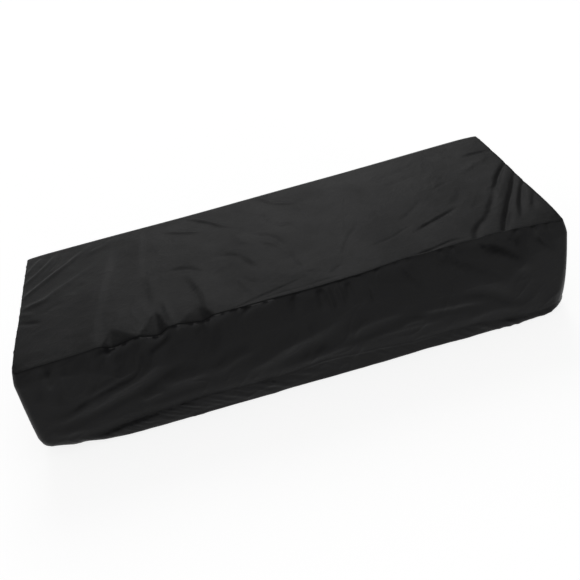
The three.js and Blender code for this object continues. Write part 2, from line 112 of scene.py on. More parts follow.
def grained(u: np.ndarray, v: np.ndarray, grain: float, shift: float, seed: int) -> np.ndarray:
    """Smooth noise of a given grain, from its own part of the pattern."""
    return smooth_noise(u / grain + shift, v / grain + shift, seed)


@dataclass(frozen=True)
class Fold:
    """A fold along a curve through its places.

    Attributes:
        through: places that the fold's crest or bottom passes.
        rise: height of a ridge, or of a hollow where it is negative.
        left: reach on the left of its direction.
        right: reach on the right of its direction.
        crisp: 2 is a round crest, towards 1 a sharp one.
    """

    through: tuple[Place, ...]
    rise: float
    left: float
    right: float
    crisp: float

    def curve(self, pieces: int = 6) -> np.ndarray:
        """Points of a smooth curve through the fold's places.

        Args:
            pieces: straight pieces between two places.

        Returns:
            The points, one a row.
        """
        places = np.array(self.through, float)
        ends = np.vstack([2 * places[0] - places[1], places, 2 * places[-1] - places[-2]])
        steps = np.linspace(0.0, 1.0, pieces, endpoint=False)[:, None]
        runs = []
        for a, b, c, d in zip(ends, ends[1:], ends[2:], ends[3:]):
            cubic = -a + 3 * b - 3 * c + d
            square = 2 * a - 5 * b + 4 * c - d
            runs.append(0.5 * (2 * b + (c - a) * steps + square * steps**2 + cubic * steps**3))
        return np.vstack([*runs, places[-1:]])

    def lift(self, u: np.ndarray, v: np.ndarray) -> np.ndarray:
        """What the fold adds to a sheet.

        Args:
            u: first coordinate of each place.
            v: second coordinate of each place.

        Returns:
            Height at each place.
        """
        curve = self.curve()
        reach = FOLD_REACH * max(self.left, self.right)
        low, high = curve.min(0) - reach, curve.max(0) + reach
        near = (u > low[0]) & (u < high[0]) & (v > low[1]) & (v < high[1])
        height = np.zeros_like(u)
        if not near.any():
            return height
        places = np.stack([u[near], v[near]], -1)
        lengths = np.concatenate([[0.0], np.cumsum(np.linalg.norm(np.diff(curve, axis=0), axis=1))])
        best = np.full(len(places), np.inf)
        side, along = np.zeros(len(places)), np.zeros(len(places))
        for start, finish, before in zip(curve, curve[1:], lengths):
            run = finish - start
            size = float(run @ run)
            share = np.clip((places - start) @ run / size, 0.0, 1.0)
            gap = places - start - share[:, None] * run
            far = np.linalg.norm(gap, axis=1)
            closer = far < best
            best = np.where(closer, far, best)
            side = np.where(closer, (run[0] * gap[:, 1] - run[1] * gap[:, 0]) / math.sqrt(size), side)
            along = np.where(closer, before + share * math.sqrt(size), along)
        total = lengths[-1]
        tapering = ease(START_TAPER[0] + along / (START_TAPER[1] * total))
        tapering = tapering * ease(END_TAPER[0] + (total - along) / (END_TAPER[1] * total))
        width = self.right + (self.left - self.right) * ease(0.5 + side / CREST_BLEND)
        height[near] = self.rise * tapering * np.exp(-((best / width) ** self.crisp))
        return height


def relief(folds: tuple[Fold, ...], u: np.ndarray, v: np.ndarray) -> np.ndarray:
    """What a group of folds adds to a sheet.

    Args:
        folds: the folds.
        u: first coordinate of each place.
        v: second coordinate of each place.

    Returns:
        Height at each place.
    """
    total = np.zeros_like(u)
    for fold in folds:
        total += fold.lift(u, v)
    return total


def light(rise: float, left: float, right: float, crisp: float, *through: Place) -> Fold:
    """A ridge, from a row of a table of folds."""
    return Fold(through, rise, left, right, crisp)


def dark(drop: float, left: float, right: float, crisp: float, *through: Place) -> Fold:
    """A hollow, from a row of a table of folds."""
    return Fold(through, -drop, left, right, crisp)


# Tables of folds. A row is a fold's height or depth, its reach on the left and on the right of its course,
# how round it is (2 round, towards 1 sharp) and the places that it passes: x and y on the top, place along
# the wall and height on a wall.
TOP_FOLDS = (
    # Long hollows and the ridges between them, at the right end.
    dark(4.2, 8, 4, 1.5, (518, 60), (492, 34), (466, 2), (450, -24), (430, -52)),
    dark(1.9, 10, 6, 2.0, (436, -50), (408, -96), (384, -130), (354, -156), (338, -190)),
    dark(4.6, 8, 4, 1.5, (518, 30), (491, -14), (465, -60), (435, -110), (409, -156), (390, -196)),
    dark(4.2, 8, 4, 1.5, (519, -10), (493, -48), (467, -94), (449, -134), (434, -168)),
    dark(1.4, 6, 4, 1.8, (504, -76), (484, -112), (464, -152)),
    light(0.8, 6, 6, 2.0, (508, 50), (464, -20), (428, -78), (400, -126)),
    light(0.8, 5, 5, 2.0, (508, 14), (470, -50), (446, -98), (420, -142)),
    dark(2.2, 5, 6, 1.8, (514, 100), (488, 108), (462, 112), (430, 112)),
    light(1.0, 10, 10, 2.0, (396, 48), (440, 70), (492, 92)),
    dark(0.8, 5, 5, 2.0, (328, 14), (350, 25), (380, 38)),
    # Creases right of the middle.
    dark(1.9, 4, 6, 1.7, (254, -112), (282, -99), (306, -90), (328, -80), (358, -66)),
    dark(0.7, 3.5, 4, 2.0, (160, -122), (198, -113), (216, -107), (232, -97), (262, -86)),
    dark(0.9, 3, 4, 1.8, (72, -170), (88, -159), (104, -150)),
    dark(0.8, 4, 5, 2.0, (108, -136), (118, -104), (134, -71), (150, -50), (168, -26)),
    dark(0.8, 5, 5, 2.0, (300, -8), (268, -42), (236, -66)),
    dark(0.6, 3, 4, 1.6, (206, 0), (212, -28)),
    dark(0.9, 12, 9, 2.0, (384, -2), (364, -40), (338, -56)),
    dark(0.5, 6, 6, 1.6, (330, 92), (280, 84), (236, 72)),
    dark(0.6, 7, 7, 2.0, (370, 160), (300, 128), (200, 108)),
    # Crisp ridges of the back left corner.
    light(2.4, 5, 5, 1.8, (-496, 118), (-482, 148), (-462, 182)),
    light(3.2, 5, 6, 1.7, (-504, 76), (-490, 92), (-470, 116), (-450, 146), (-430, 184)),
    light(1.6, 5, 6, 1.8, (-452, 96), (-432, 128), (-414, 176)),
    light(3.8, 7, 7, 1.7, (-508, 20), (-492, 36), (-468, 60), (-440, 90), (-410, 120), (-384, 150),
          (-352, 186)),
    light(2.4, 8, 8, 1.8, (-508, -12), (-480, -4), (-452, 4), (-430, 24), (-400, 48), (-370, 74),
          (-342, 100)),
    light(1.9, 9, 9, 2.0, (-374, 136), (-334, 158), (-296, 182)),
    light(1.0, 7, 6, 2.0, (-506, -26), (-484, -30), (-468, -44)),
    dark(1.3, 5, 7, 1.8, (-504, -54), (-478, -61), (-452, -72)),
    dark(1.2, 9, 12, 2.0, (-404, 0), (-392, 16), (-372, 34)),
    dark(0.8, 7, 8, 2.0, (-456, -44), (-432, -28), (-410, -18)),
    # Broad soft bands left of the middle.
    light(2.8, 34, 10, 2.0, (-356, -200), (-354, -120), (-346, -60), (-340, 0), (-330, 60), (-322, 144)),
    dark(0.9, 6, 6, 2.0, (-360, -52), (-350, -26), (-338, -4)),
    light(2.2, 24, 9, 2.0, (-268, 10), (-263, 70), (-258, 130), (-255, 188)),
    light(1.6, 20, 8, 2.0, (-248, -10), (-245, -60), (-242, -116)),
    light(1.6, 6, 5, 1.8, (-226, -108), (-221, -150), (-213, -194)),
    light(2.4, 16, 8, 1.9, (-176, -40), (-160, -88), (-153, -130), (-149, -188)),
    # Creases of the middle.
    light(2.4, 5, 6, 1.7, (-154, 180), (-122, 150), (-100, 126), (-84, 106), (-56, 84)),
    light(2.0, 5, 6, 1.7, (-204, 146), (-162, 121), (-124, 102)),
    light(1.9, 6, 7, 1.8, (-2, 192), (18, 166), (31, 144), (48, 130), (88, 112)),
    dark(1.5, 6, 9, 1.8, (-208, -10), (-184, -15), (-164, -26), (-146, -46)),
    dark(1.4, 6, 12, 1.8, (-120, -2), (-92, -12), (-74, -26), (-58, -62), (-40, -104)),
    dark(1.2, 24, 20, 2.0, (-128, -60), (-106, -76), (-86, -92)),
    dark(0.8, 4, 4, 1.8, (-80, -98), (-64, -124), (-50, -138)),
    light(1.0, 5, 6, 2.0, (-84, -108), (-76, -134), (-66, -166)),
    dark(1.4, 7, 6, 1.8, (-40, 40), (-12, 20), (4, 2), (12, -20), (22, -48)),
    light(0.9, 5, 5, 2.0, (-22, 8), (-4, -14), (14, -44)),
    dark(1.3, 5, 16, 1.8, (20, -56), (22, -96), (34, -138)),
    dark(0.9, 4, 4, 1.8, (10, 64), (30, 45), (62, 35)),
    dark(0.8, 5, 6, 2.0, (58, 108), (70, 82), (88, 56)),
    light(0.8, 6, 6, 2.0, (8, 118), (6, 88), (20, 62)),
    dark(0.7, 6, 6, 2.0, (-26, 112), (-4, 100), (2, 84)),
    dark(0.9, 10, 9, 2.0, (-60, 156), (-36, 128), (-24, 96)),
    light(0.9, 9, 10, 2.0, (-66, 66), (-58, 30), (-30, -2)),
    dark(0.7, 3, 3, 1.6, (30, -142), (46, -148), (66, -160)),
)

# Folds of the top that run right up to its front seam.
SEAM_FOLDS = (
    dark(1.2, 3, 4, 1.7, (-106, -194), (-62, -181), (-30, -174), (0, -166), (38, -155)),
    dark(0.7, 2.5, 2.5, 1.8, (-100, -191), (-40, -187), (30, -186), (112, -184)),
    dark(3.0, 7, 4, 1.5, (424, -126), (408, -156), (392, -188), (384, -210)),
    dark(1.5, 7, 5, 1.8, (366, -148), (348, -168), (337, -200)),
    dark(1.2, 3, 4, 1.7, (222, -188), (258, -183), (284, -177), (300, -174), (334, -181)),
    dark(0.7, 4, 4, 1.6, (-398, -184), (-390, -172), (-380, -168)),
)

# Hollows of the top that stand on its front seam: middle, reach to its left and right, how far up the
# panel its tip is, and its slope.
SEAM_HOLLOWS = (
    (-326, 17, 46, 46, 0.16),
    (-243, 34, 19, 66, 0.15),
    (-166, 40, 24, 42, 0.17),
)

# Broad swells of the top: x, y, size along x, size along y, height.
TOP_SWELLS = (
    (-150, -60, 150, 90, -2.5),
    (130, 40, 190, 110, 2.0),
    (-380, -60, 90, 100, 1.5),
    (440, 200, 240, 110, 3.5),
    (500, 40, 90, 150, 4.0),
)

FRONT_FOLDS = (
    # The lower half swells out.
    light(3.5, 46, 30, 2.0, (-330, 44), (-200, 52), (-60, 58), (60, 62), (200, 60), (340, 50), (440, 38)),
    light(1.6, 12, 8, 2.0, (-478, 50), (-430, 46), (-390, 40)),
    # Long diagonals of the left half.
    light(4.5, 12, 8, 1.9, (-372, 94), (-352, 106), (-310, 118), (-284, 128), (-262, 142), (-240, 158)),
    light(3.2, 7.5, 5, 1.9, (-270, 154), (-245, 164), (-220, 178)),
    light(2.2, 12, 8, 2.0, (-468, 72), (-420, 84), (-385, 100), (-345, 118)),
    light(1.6, 7.5, 5, 1.9, (-412, 76), (-370, 92), (-330, 102), (-300, 108), (-272, 118)),
    light(2.7, 9, 6, 2.0, (-404, 104), (-372, 118), (-330, 132), (-292, 148)),
    dark(2.5, 7.5, 5, 1.9, (-436, 88), (-395, 106), (-350, 120), (-308, 136)),
    dark(2.6, 13.5, 9, 2.0, (-440, 66), (-390, 72), (-350, 82), (-310, 93), (-280, 103), (-250, 118),
         (-215, 130), (-170, 138)),
    light(2.0, 9, 6, 1.9, (-308, 73), (-285, 78), (-260, 80)),
    light(3.6, 15, 10, 1.9, (-264, 91), (-230, 96), (-200, 97), (-160, 95)),
    dark(1.6, 12, 8, 2.0, (-300, 62), (-240, 68), (-190, 72)),
    # The long ridge of the middle, the hollow under it and the ridges beside it.
    light(3.0, 13.5, 9, 1.9, (-174, 88), (-150, 98), (-128, 107), (-100, 114), (-70, 122)),
    light(2.0, 33, 22, 2.0, (-170, 89), (-110, 97), (-60, 111)),
    light(6.0, 24, 16, 1.6, (-128, 71), (-90, 81), (-60, 92), (-30, 101), (0, 109), (30, 116), (60, 123),
          (100, 134)),
    dark(2.8, 18, 12, 2.0, (-56, 70), (-20, 75), (12, 81), (50, 92)),
    light(2.6, 13.5, 9, 2.0, (-20, 56), (30, 64), (62, 68), (100, 70)),
    light(3.4, 15, 10, 1.9, (70, 88), (100, 98), (130, 104), (160, 105), (198, 101)),
    dark(1.8, 9, 6, 2.0, (66, 70), (100, 74), (150, 80), (172, 84)),
    light(2.0, 10.5, 7, 2.0, (108, 69), (140, 71), (185, 69), (230, 66), (266, 63)),
    # Folds of the right half, that fall from the seam to the corner.
    light(2.6, 9, 6, 1.9, (172, 75), (190, 79), (208, 79), (230, 74)),
    light(3.0, 12, 8, 1.9, (208, 96), (240, 92), (272, 88), (305, 84), (344, 76)),
    dark(1.8, 10.5, 7, 1.9, (230, 81), (270, 77), (300, 74), (336, 69)),
    dark(3.2, 13.5, 9, 2.0, (296, 106), (328, 96), (350, 86), (372, 72), (392, 58), (428, 44)),
    light(4.4, 21, 14, 2.0, (258, 171), (300, 158), (330, 138), (352, 120), (372, 104), (396, 84)),
    dark(3.8, 13.5, 9, 2.0, (280, 180), (305, 162), (330, 145), (352, 131), (376, 116), (394, 104)),
    light(3.2, 15, 10, 2.0, (350, 160), (380, 150), (402, 136), (430, 115)),
    dark(3.4, 12, 8, 2.0, (346, 196), (368, 179), (392, 164), (412, 148), (436, 124)),
    dark(2.5, 4.5, 3, 1.6, (336, 202), (345, 188), (360, 176)),
    dark(3.2, 6, 4, 1.6, (393, 201), (402, 183), (414, 169)),
    dark(3.2, 9, 6, 1.9, (442, 186), (456, 168), (478, 141)),
    light(1.8, 13.5, 9, 2.0, (300, 46), (350, 52), (410, 42)),
    # Short folds that hang from the seam.
    dark(3.1, 5, 6, 1.9, (56, 198), (60, 172), (66, 138)),
    dark(2.2, 4, 5, 1.9, (76, 194), (80, 170), (83, 148)),
    dark(2.5, 4, 5, 1.9, (127, 172), (131, 138)),
    dark(1.3, 6, 7, 2.0, (92, 150), (108, 124)),
    dark(1.7, 5, 5, 1.9, (6, 136), (14, 104)),
    light(2.3, 8, 6, 2.0, (44, 196), (46, 150)),
    light(2.2, 7, 7, 2.0, (94, 190), (97, 156)),
    light(2.2, 8, 8, 2.0, (2, 190), (-4, 160)),
    dark(2.3, 6, 6, 2.0, (198, 190), (214, 164), (238, 140)),
    dark(2.6, 8, 8, 2.0, (-452, 194), (-461, 162), (-474, 126)),
    dark(2.4, 7, 7, 2.0, (-418, 188), (-429, 152), (-443, 110)),
    light(2.2, 7, 7, 2.0, (-436, 184), (-446, 144)),
)

RIGHT_FOLDS = (
    light(4.0, 12, 12, 1.6, (-170, 182), (-110, 120), (-80, 40)),
    dark(3.5, 9, 9, 1.6, (-120, 184), (-84, 130), (-62, 60)),
    light(3.0, 11, 9, 1.6, (-20, 186), (-10, 120), (-34, 50)),
    dark(3.5, 9, 10, 1.6, (60, 184), (44, 120), (66, 36)),
    light(3.5, 10, 10, 1.6, (150, 178), (112, 110), (104, 44)),
    dark(2.0, 8, 8, 1.6, (-160, 120), (-120, 84), (-100, 60)),
    dark(1.8, 8, 8, 1.6, (10, 150), (20, 110), (10, 70)),
    light(1.6, 8, 8, 1.6, (90, 150), (84, 110), (90, 70)),
    dark(1.8, 9, 9, 1.6, (170, 150), (150, 110), (152, 70)),
)

BACK_FOLDS = (
    light(4.0, 10, 13, 1.6, (430, 178), (360, 120), (330, 46)),
    dark(4.0, 9, 9, 1.6, (360, 184), (310, 116), (220, 70)),
    light(3.0, 10, 11, 1.6, (240, 186), (214, 120), (236, 44)),
    light(4.0, 9, 12, 1.6, (150, 120), (70, 84), (-60, 72)),
    dark(3.5, 9, 9, 1.6, (60, 186), (40, 150), (-10, 112)),
    dark(3.0, 9, 10, 1.6, (-110, 184), (-140, 130), (-120, 56)),
    light(3.5, 9, 11, 1.6, (-190, 96), (-270, 78), (-350, 100)),
    dark(4.0, 9, 10, 1.6, (-260, 186), (-300, 130), (-370, 60)),
    light(3.5, 10, 11, 1.6, (-420, 180), (-400, 110), (-424, 48)),
    dark(2.2, 8, 8, 1.6, (180, 96), (90, 62), (0, 56)),
    dark(2.0, 8, 8, 1.6, (400, 120), (380, 80), (390, 50)),
    light(1.8, 9, 9, 1.6, (-20, 184), (-40, 130), (-30, 90)),
    light(1.8, 8, 9, 1.6, (-300, 184), (-340, 140), (-400, 110)),
    dark(1.8, 8, 8, 1.6, (-460, 180), (-450, 130), (-462, 80)),
)

LEFT_FOLDS = (
    light(3.5, 11, 11, 1.6, (160, 182), (120, 120), (112, 46)),
    dark(3.5, 9, 10, 1.6, (90, 186), (60, 130), (70, 60)),
    light(3.5, 10, 11, 1.6, (10, 120), (-50, 90), (-120, 96)),
    dark(3.0, 9, 9, 1.6, (-40, 186), (-64, 130), (-48, 40)),
    light(3.0, 10, 10, 1.6, (-140, 180), (-110, 110), (-140, 56)),
    dark(2.0, 8, 8, 1.6, (40, 84), (-30, 62), (-96, 66)),
    dark(1.8, 8, 8, 1.6, (-170, 150), (-158, 110), (-166, 74)),
    light(1.6, 8, 8, 1.6, (30, 184), (20, 150), (26, 120)),
)

# Each wall along its length: place, inset of the seam, radius of the hem's curl, flat hem past it, lift of
# the hem.
WALL_TABLES = {
    Side.FRONT: (
        (-500, 5, 34, 12, 10), (-440, 5, 30, 14, 3), (-390, 7, 20, 20, 0), (-345, 11, 10, 20, 0),
        (-284, 12, 7, 16, 1), (-190, 16, 7, 10, 0), (-120, 13, 7, 14, 0), (-49, 12, 7, 16, 1),
        (34, 9, 7, 5, 0), (112, 11, 7, 12, 0), (210, 20, 7, 22, 1), (320, 20, 7, 25, 0),
        (382, 20, 8, 33, 0), (448, 11, 10, 36, 0), (500, 5, 14, 26, 2),
    ),
    Side.RIGHT: (
        (-205, 5, 14, 26, 2), (-120, 4, 11, 26, 0), (-30, 5, 8, 18, 1), (70, 4, 9, 20, 0),
        (205, 4, 18, 14, 2),
    ),
    Side.BACK: (
        (-500, 4, 21, 13, 2), (-350, 4, 10, 18, 0), (-150, 6, 7, 12, 0), (60, 4, 8, 21, 1),
        (250, 5, 7, 13, 0), (410, 4, 11, 20, 0), (500, 4, 18, 14, 2),
    ),
    Side.LEFT: (
        (-205, 5, 34, 12, 10), (-110, 4, 16, 14, 1), (-20, 5, 9, 14, 1), (90, 4, 12, 16, 0),
        (205, 4, 21, 13, 2),
    ),
}

# Share of the front's crease over the hem by place along it.
FRONT_CREASE = (
    (-500, 0.1), (-410, 0.3), (-385, 1.0), (-60, 1.0), (-10, 0.6), (40, 0.25), (220, 0.25), (270, 0.6),
    (340, 0.6), (380, 0.8), (440, 0.7), (500, 0.3),
)


@dataclass(frozen=True)
class Corner:
    """An upright corner of the cover.

    Attributes:
        radius: in plan, at the seam.
        foot: radius in plan, at the hem.
        rise: how steeply the one turns into the other.
        sag: how far the top's corner hangs.
        spread: how far that sag reaches.
    """

    radius: float
    foot: float
    rise: float
    sag: float
    spread: float


CORNERS = {
    (-1, -1): Corner(12, 24, 3.0, 3, 26),
    (1, -1): Corner(8, 50, 3.0, 4, 30),
    (1, 1): Corner(10, 26, 2.4, 1.5, 26),
    (-1, 1): Corner(9, 24, 2.2, 1.5, 26),
}


@dataclass
class CoverShape:
    """The cover's shape: where each place of each panel lies, before its own small folds.

    Attributes:
        length: of the cover at its seam.
        depth: of the cover at its seam.
        height: of the top.
        shoulder: drop of the rounded shoulder, and what each unit of the seam's inset adds to it.
        round_shoulder: how round the shoulder is.
        hem: width of the hem below its crease.
        mitre: length over which an inset comes in.
        least_radius: of a corner that is turned in.
        edge_dip: how far the top sinks at its seams, and over what width.
        back_roll: the same at the back seam alone.
        soft_edge: how soft the outline of a seam's hollow is.
        seam_line: share of the seam's groove by place along the cover.
        seam_fade: width over which folds that run up to a seam end.
        fade: width over which the other folds end, share that is left of them there, and the same width on
            the walls.
        lean: how far each wall leans out over its height.
    """

    length: float = 1006
    depth: float = 416
    height: float = 197
    shoulder: Place = (5, 4.0)
    round_shoulder: float = 1.2
    hem: float = 54
    mitre: float = 120
    least_radius: float = 4
    edge_dip: Place = (0.5, 8)
    back_roll: Place = (4.5, 20)
    soft_edge: float = 2.5
    seam_line: Rows = ((-500, 0.8), (-345, 0.8), (-320, 1.3), (150, 1.3), (235, 0.5), (500, 0.4))
    seam_fade: float = 4
    fade: tuple[float, float, float] = (26, 0.4, 40)
    lean: dict[Side, float] = field(
        default_factory=lambda: {Side.FRONT: 6, Side.RIGHT: 1, Side.BACK: 6, Side.LEFT: 7}
    )

    @property
    def half_x(self) -> float:
        """Half the length."""
        return self.length / 2

    @property
    def half_y(self) -> float:
        """Half the depth."""
        return self.depth / 2

    def ends(self, side: Side) -> Place:
        """Places of a wall's two ends, counter-clockwise."""
        half = self.half_x if side in (Side.FRONT, Side.BACK) else self.half_y
        return (-half, half) if side in (Side.FRONT, Side.RIGHT) else (half, -half)

    def start(self, side: Side) -> float:
        """Distance round the cover at which a wall starts."""
        lengths = {Side.FRONT: 0.0, Side.RIGHT: self.length, Side.BACK: self.length + self.depth}
        return lengths.get(side, 2 * self.length + self.depth)

    def spot(self, side: Side, at: np.ndarray) -> tuple[np.ndarray, np.ndarray]:
        """Grid point of the top that a place on a wall is sewn to.

        Args:
            side: the wall.
            at: place along it.

        Returns:
            The grid point's two coordinates.
        """
        rims = {Side.FRONT: -self.half_y, Side.BACK: self.half_y, Side.LEFT: -self.half_x}
        level = np.full_like(at, rims.get(side, self.half_x))
        return (at, level) if side in (Side.FRONT, Side.BACK) else (level, at)

    def table(self, side: Side, at: np.ndarray, column: int) -> np.ndarray:
        """A column of a wall's table, read smoothly.

        Args:
            side: the wall.
            at: places along it.
            column: number of the column.

        Returns:
            Its value at each place.
        """
        rows = np.array(WALL_TABLES[side], float)
        place = np.clip(at, rows[0, 0], rows[-1, 0])
        after = np.clip(np.searchsorted(rows[:, 0], place), 1, len(rows) - 1)
        share = ease((place - rows[after - 1, 0]) / (rows[after, 0] - rows[after - 1, 0]))
        return rows[after - 1, column] * (1 - share) + rows[after, column] * share

    def drawn_in(self, value: np.ndarray, half: float, inset: np.ndarray) -> np.ndarray:
        """A grid value drawn inwards by an inset, near its own end only."""
        near = np.maximum(0.0, (np.abs(value) - half + self.mitre) / self.mitre)
        return np.sign(value) * (np.abs(value) - inset * near)

    def plan(
        self, gx: np.ndarray, gy: np.ndarray, inset_x: np.ndarray, inset_y: np.ndarray, radius: np.ndarray
    ) -> tuple[np.ndarray, np.ndarray]:
        """A grid point in plan, on a rectangle that is drawn in by its insets and has round corners.

        Args:
            gx: first coordinate of each grid point.
            gy: second coordinate of each grid point.
            inset_x: how far the end walls lie in.
            inset_y: how far the long walls lie in.
            radius: of the corners.

        Returns:
            x and y of each point.
        """
        x = self.drawn_in(gx, self.half_x, inset_x)
        y = self.drawn_in(gy, self.half_y, inset_y)
        mid_x, mid_y = self.half_x - inset_x - radius, self.half_y - inset_y - radius
        a, b = (np.abs(x) - mid_x) / radius, (np.abs(y) - mid_y) / radius
        bent = (a > 0) & (b > 0) & (gx != 0) & (gy != 0)
        a, b = np.clip(a, 0, 1), np.clip(b, 0, 1)
        round_x = np.sign(x) * (mid_x + radius * a * np.sqrt(1 - b * b / 2))
        round_y = np.sign(y) * (mid_y + radius * b * np.sqrt(1 - a * a / 2))
        return np.where(bent, round_x, x), np.where(bent, round_y, y)

    def corner_values(self, gx: np.ndarray, gy: np.ndarray, name: str) -> np.ndarray:
        """One of the sizes of the corner that is nearest to each grid point.

        Args:
            gx: first coordinate of each grid point.
            gy: second coordinate of each grid point.
            name: of the size.

        Returns:
            The size at each grid point.
        """
        values = np.zeros_like(gx)
        for (way_x, way_y), corner in CORNERS.items():
            values = np.where((gx * way_x >= 0) & (gy * way_y >= 0), getattr(corner, name), values)
        return values

    def edge(self, gx: np.ndarray, gy: np.ndarray) -> np.ndarray:
        """Distance of a grid point of the top from its nearest seam."""
        return np.minimum(self.half_x - np.abs(gx), self.half_y - np.abs(gy))

    def top(self, gx: np.ndarray, gy: np.ndarray) -> np.ndarray:
        """Points of the top panel.

        Args:
            gx: first coordinate of each grid point.
            gy: second coordinate of each grid point.

        Returns:
            x, y and z of each point.
        """
        inset_x = np.where(gx < 0, self.table(Side.LEFT, gy, 1), self.table(Side.RIGHT, gy, 1))
        inset_y = np.where(gy < 0, self.table(Side.FRONT, gx, 1), self.table(Side.BACK, gx, 1))
        x, y = self.plan(gx, gy, inset_x, inset_y, self.corner_values(gx, gy, "radius"))
        edge = self.edge(gx, gy)
        calm = self.fade[1] + (1 - self.fade[1]) * ease(edge / self.fade[0])
        z = self.height - self.edge_dip[0] * ease(1 - edge / self.edge_dip[1])
        z = z + calm * relief(TOP_FOLDS, x, y) + ease(edge / self.seam_fade) * relief(SEAM_FOLDS, x, y)
        up = gy + self.half_y
        for middle, left, right, reach, slope in SEAM_HOLLOWS:
            across = x - middle
            tip = reach * (1 - np.abs(across / np.where(across < 0, left, right)) ** HOLLOW_CURVE)
            z = z - slope * self.soft_edge * np.log1p(np.exp((tip - up) / self.soft_edge))
        z = z - self.back_roll[0] * ease(1 - (self.half_y - gy) / self.back_roll[1]) ** 2
        for at_x, at_y, size_x, size_y, height in TOP_SWELLS:
            z += height * np.exp(-(((x - at_x) / size_x) ** 2) - ((y - at_y) / size_y) ** 2)
        for (way_x, way_y), corner in CORNERS.items():
            from_corner = np.hypot(x - way_x * self.half_x, y - way_y * self.half_y)
            z -= corner.sag * bell(from_corner, corner.spread)
        return np.stack([x, y, z], -1)

    def ring(self, gx: np.ndarray, gy: np.ndarray, inset: np.ndarray, z: np.ndarray) -> np.ndarray:
        """The ring of walls at a height. Walls lean out and their corners widen on the way down.

        Args:
            gx: first coordinate of each grid point.
            gy: second coordinate of each grid point.
            inset: how far the cloth is turned in.
            z: height.

        Returns:
            x, y and z of each point.
        """
        depth = 1 - z / self.height
        radius, foot, rise = (self.corner_values(gx, gy, name) for name in ("radius", "foot", "rise"))
        radius = radius + (foot - radius) * np.clip(depth, 0, 1) ** np.maximum(rise, 1)
        radius = np.maximum(self.least_radius, radius - inset)
        inset_x = inset - depth * np.where(gx < 0, self.lean[Side.LEFT], self.lean[Side.RIGHT])
        inset_y = inset - depth * np.where(gy < 0, self.lean[Side.FRONT], self.lean[Side.BACK])
        return np.stack([*self.plan(gx, gy, inset_x, inset_y, radius), z], -1)

    def wall(self, side: Side, at: np.ndarray, stage: np.ndarray) -> np.ndarray:
        """Points of a wall.

        Args:
            side: the wall.
            at: place along it.
            stage: 0 at the seam, 1 under the shoulder, 2 at the hem's crease and 3 at its free edge.

        Returns:
            x, y and z of each point.
        """
        gx, gy = self.spot(side, at)
        seam = self.top(gx, gy)
        drop = self.shoulder[0] + self.shoulder[1] * self.table(side, at, 1)
        shoulder_z = seam[..., 2] - drop
        share = np.clip(stage, 0, 1)
        below = self.ring(gx, gy, np.zeros_like(at), shoulder_z)
        rounded = seam + (below - seam) * (1 - (1 - share) ** self.round_shoulder)[..., None]
        rounded[..., 2] = seam[..., 2] - drop * share
        curl, under, lifted = (self.table(side, at, column) for column in (2, 3, 4))
        straight = shoulder_z - lifted - curl
        arc = curl * math.pi / 2
        crease = straight + arc + under - self.hem
        down = np.where(stage <= 2, crease * (stage - 1), crease + self.hem * (stage - 2))
        bend = np.clip((down - straight) / arc, 0, 1) * math.pi / 2
        flat = np.maximum(0.0, down - straight - arc)
        upright = down <= straight
        inset = np.where(upright, 0.0, curl * (1 - np.cos(bend)) + flat)
        z = np.where(upright, shoulder_z - down, lifted + curl * (1 - np.sin(bend)))
        hanging = self.ring(gx, gy, inset, z)
        return np.where((stage <= 1)[..., None], rounded, hanging)


@dataclass(frozen=True)
class Gather:
    """A short ridge where cloth is drawn together on a line.

    Attributes:
        at: place along the wall where it crosses the line.
        slant: how far it runs along the wall for each step down.
        rise: its height.
        width: its reach to either side.
        above: how far it runs above the line.
        below: how far it runs below it.
    """

    at: float
    slant: float
    rise: float
    width: float
    above: float
    below: float

    def lift(self, along: np.ndarray, past: np.ndarray) -> np.ndarray:
        """Height of the ridge.

        Args:
            along: place along the wall.
            past: distance below the line, negative above it.

        Returns:
            Height at each place.
        """
        across = (along - self.at - self.slant * past) / math.hypot(1.0, self.slant)
        run = np.where(past < 0, bell(past, self.above), bell(past, self.below))
        return self.rise * np.exp(-((np.abs(across) / self.width) ** GATHER_CRISP)) * run


def gather_row(
    seed: int, ends: Place, gap: Place, slant: Place, rise: Place, width: Place, above: Place, below: Place
) -> list[Gather]:
    """Uneven gathers side by side along a line.

    Args:
        seed: seed of their unevenness.
        ends: first and last place.
        gap: least and most distance from one to the next.
        slant: least and most slant.
        rise: least and most height.
        width: least and most reach to either side.
        above: least and most run above the line.
        below: least and most run below it.

    Returns:
        The gathers, in order.
    """
    rng = np.random.default_rng(seed)
    row, at = [], min(ends) + rng.uniform(*gap)
    while at < max(ends):
        row.append(Gather(at, *(rng.uniform(*span) for span in (slant, rise, width, above, below))))
        at += rng.uniform(*gap)
    return row


def lift_of(row: list[Gather], along: np.ndarray, past: np.ndarray, reach: float) -> np.ndarray:
    """Height that a row of gathers gives a wall's places.

    Args:
        row: the gathers.
        along: place along the wall of each column, as a column vector.
        past: distance below the line at each place.
        reach: furthest that a gather runs along the wall.

    Returns:
        Height at each place.
    """
    total = np.zeros_like(past)
    for gather in row:
        near = np.abs(along[:, 0] - gather.at) < reach
        total[near] += gather.lift(along[near], past[near])
    return total


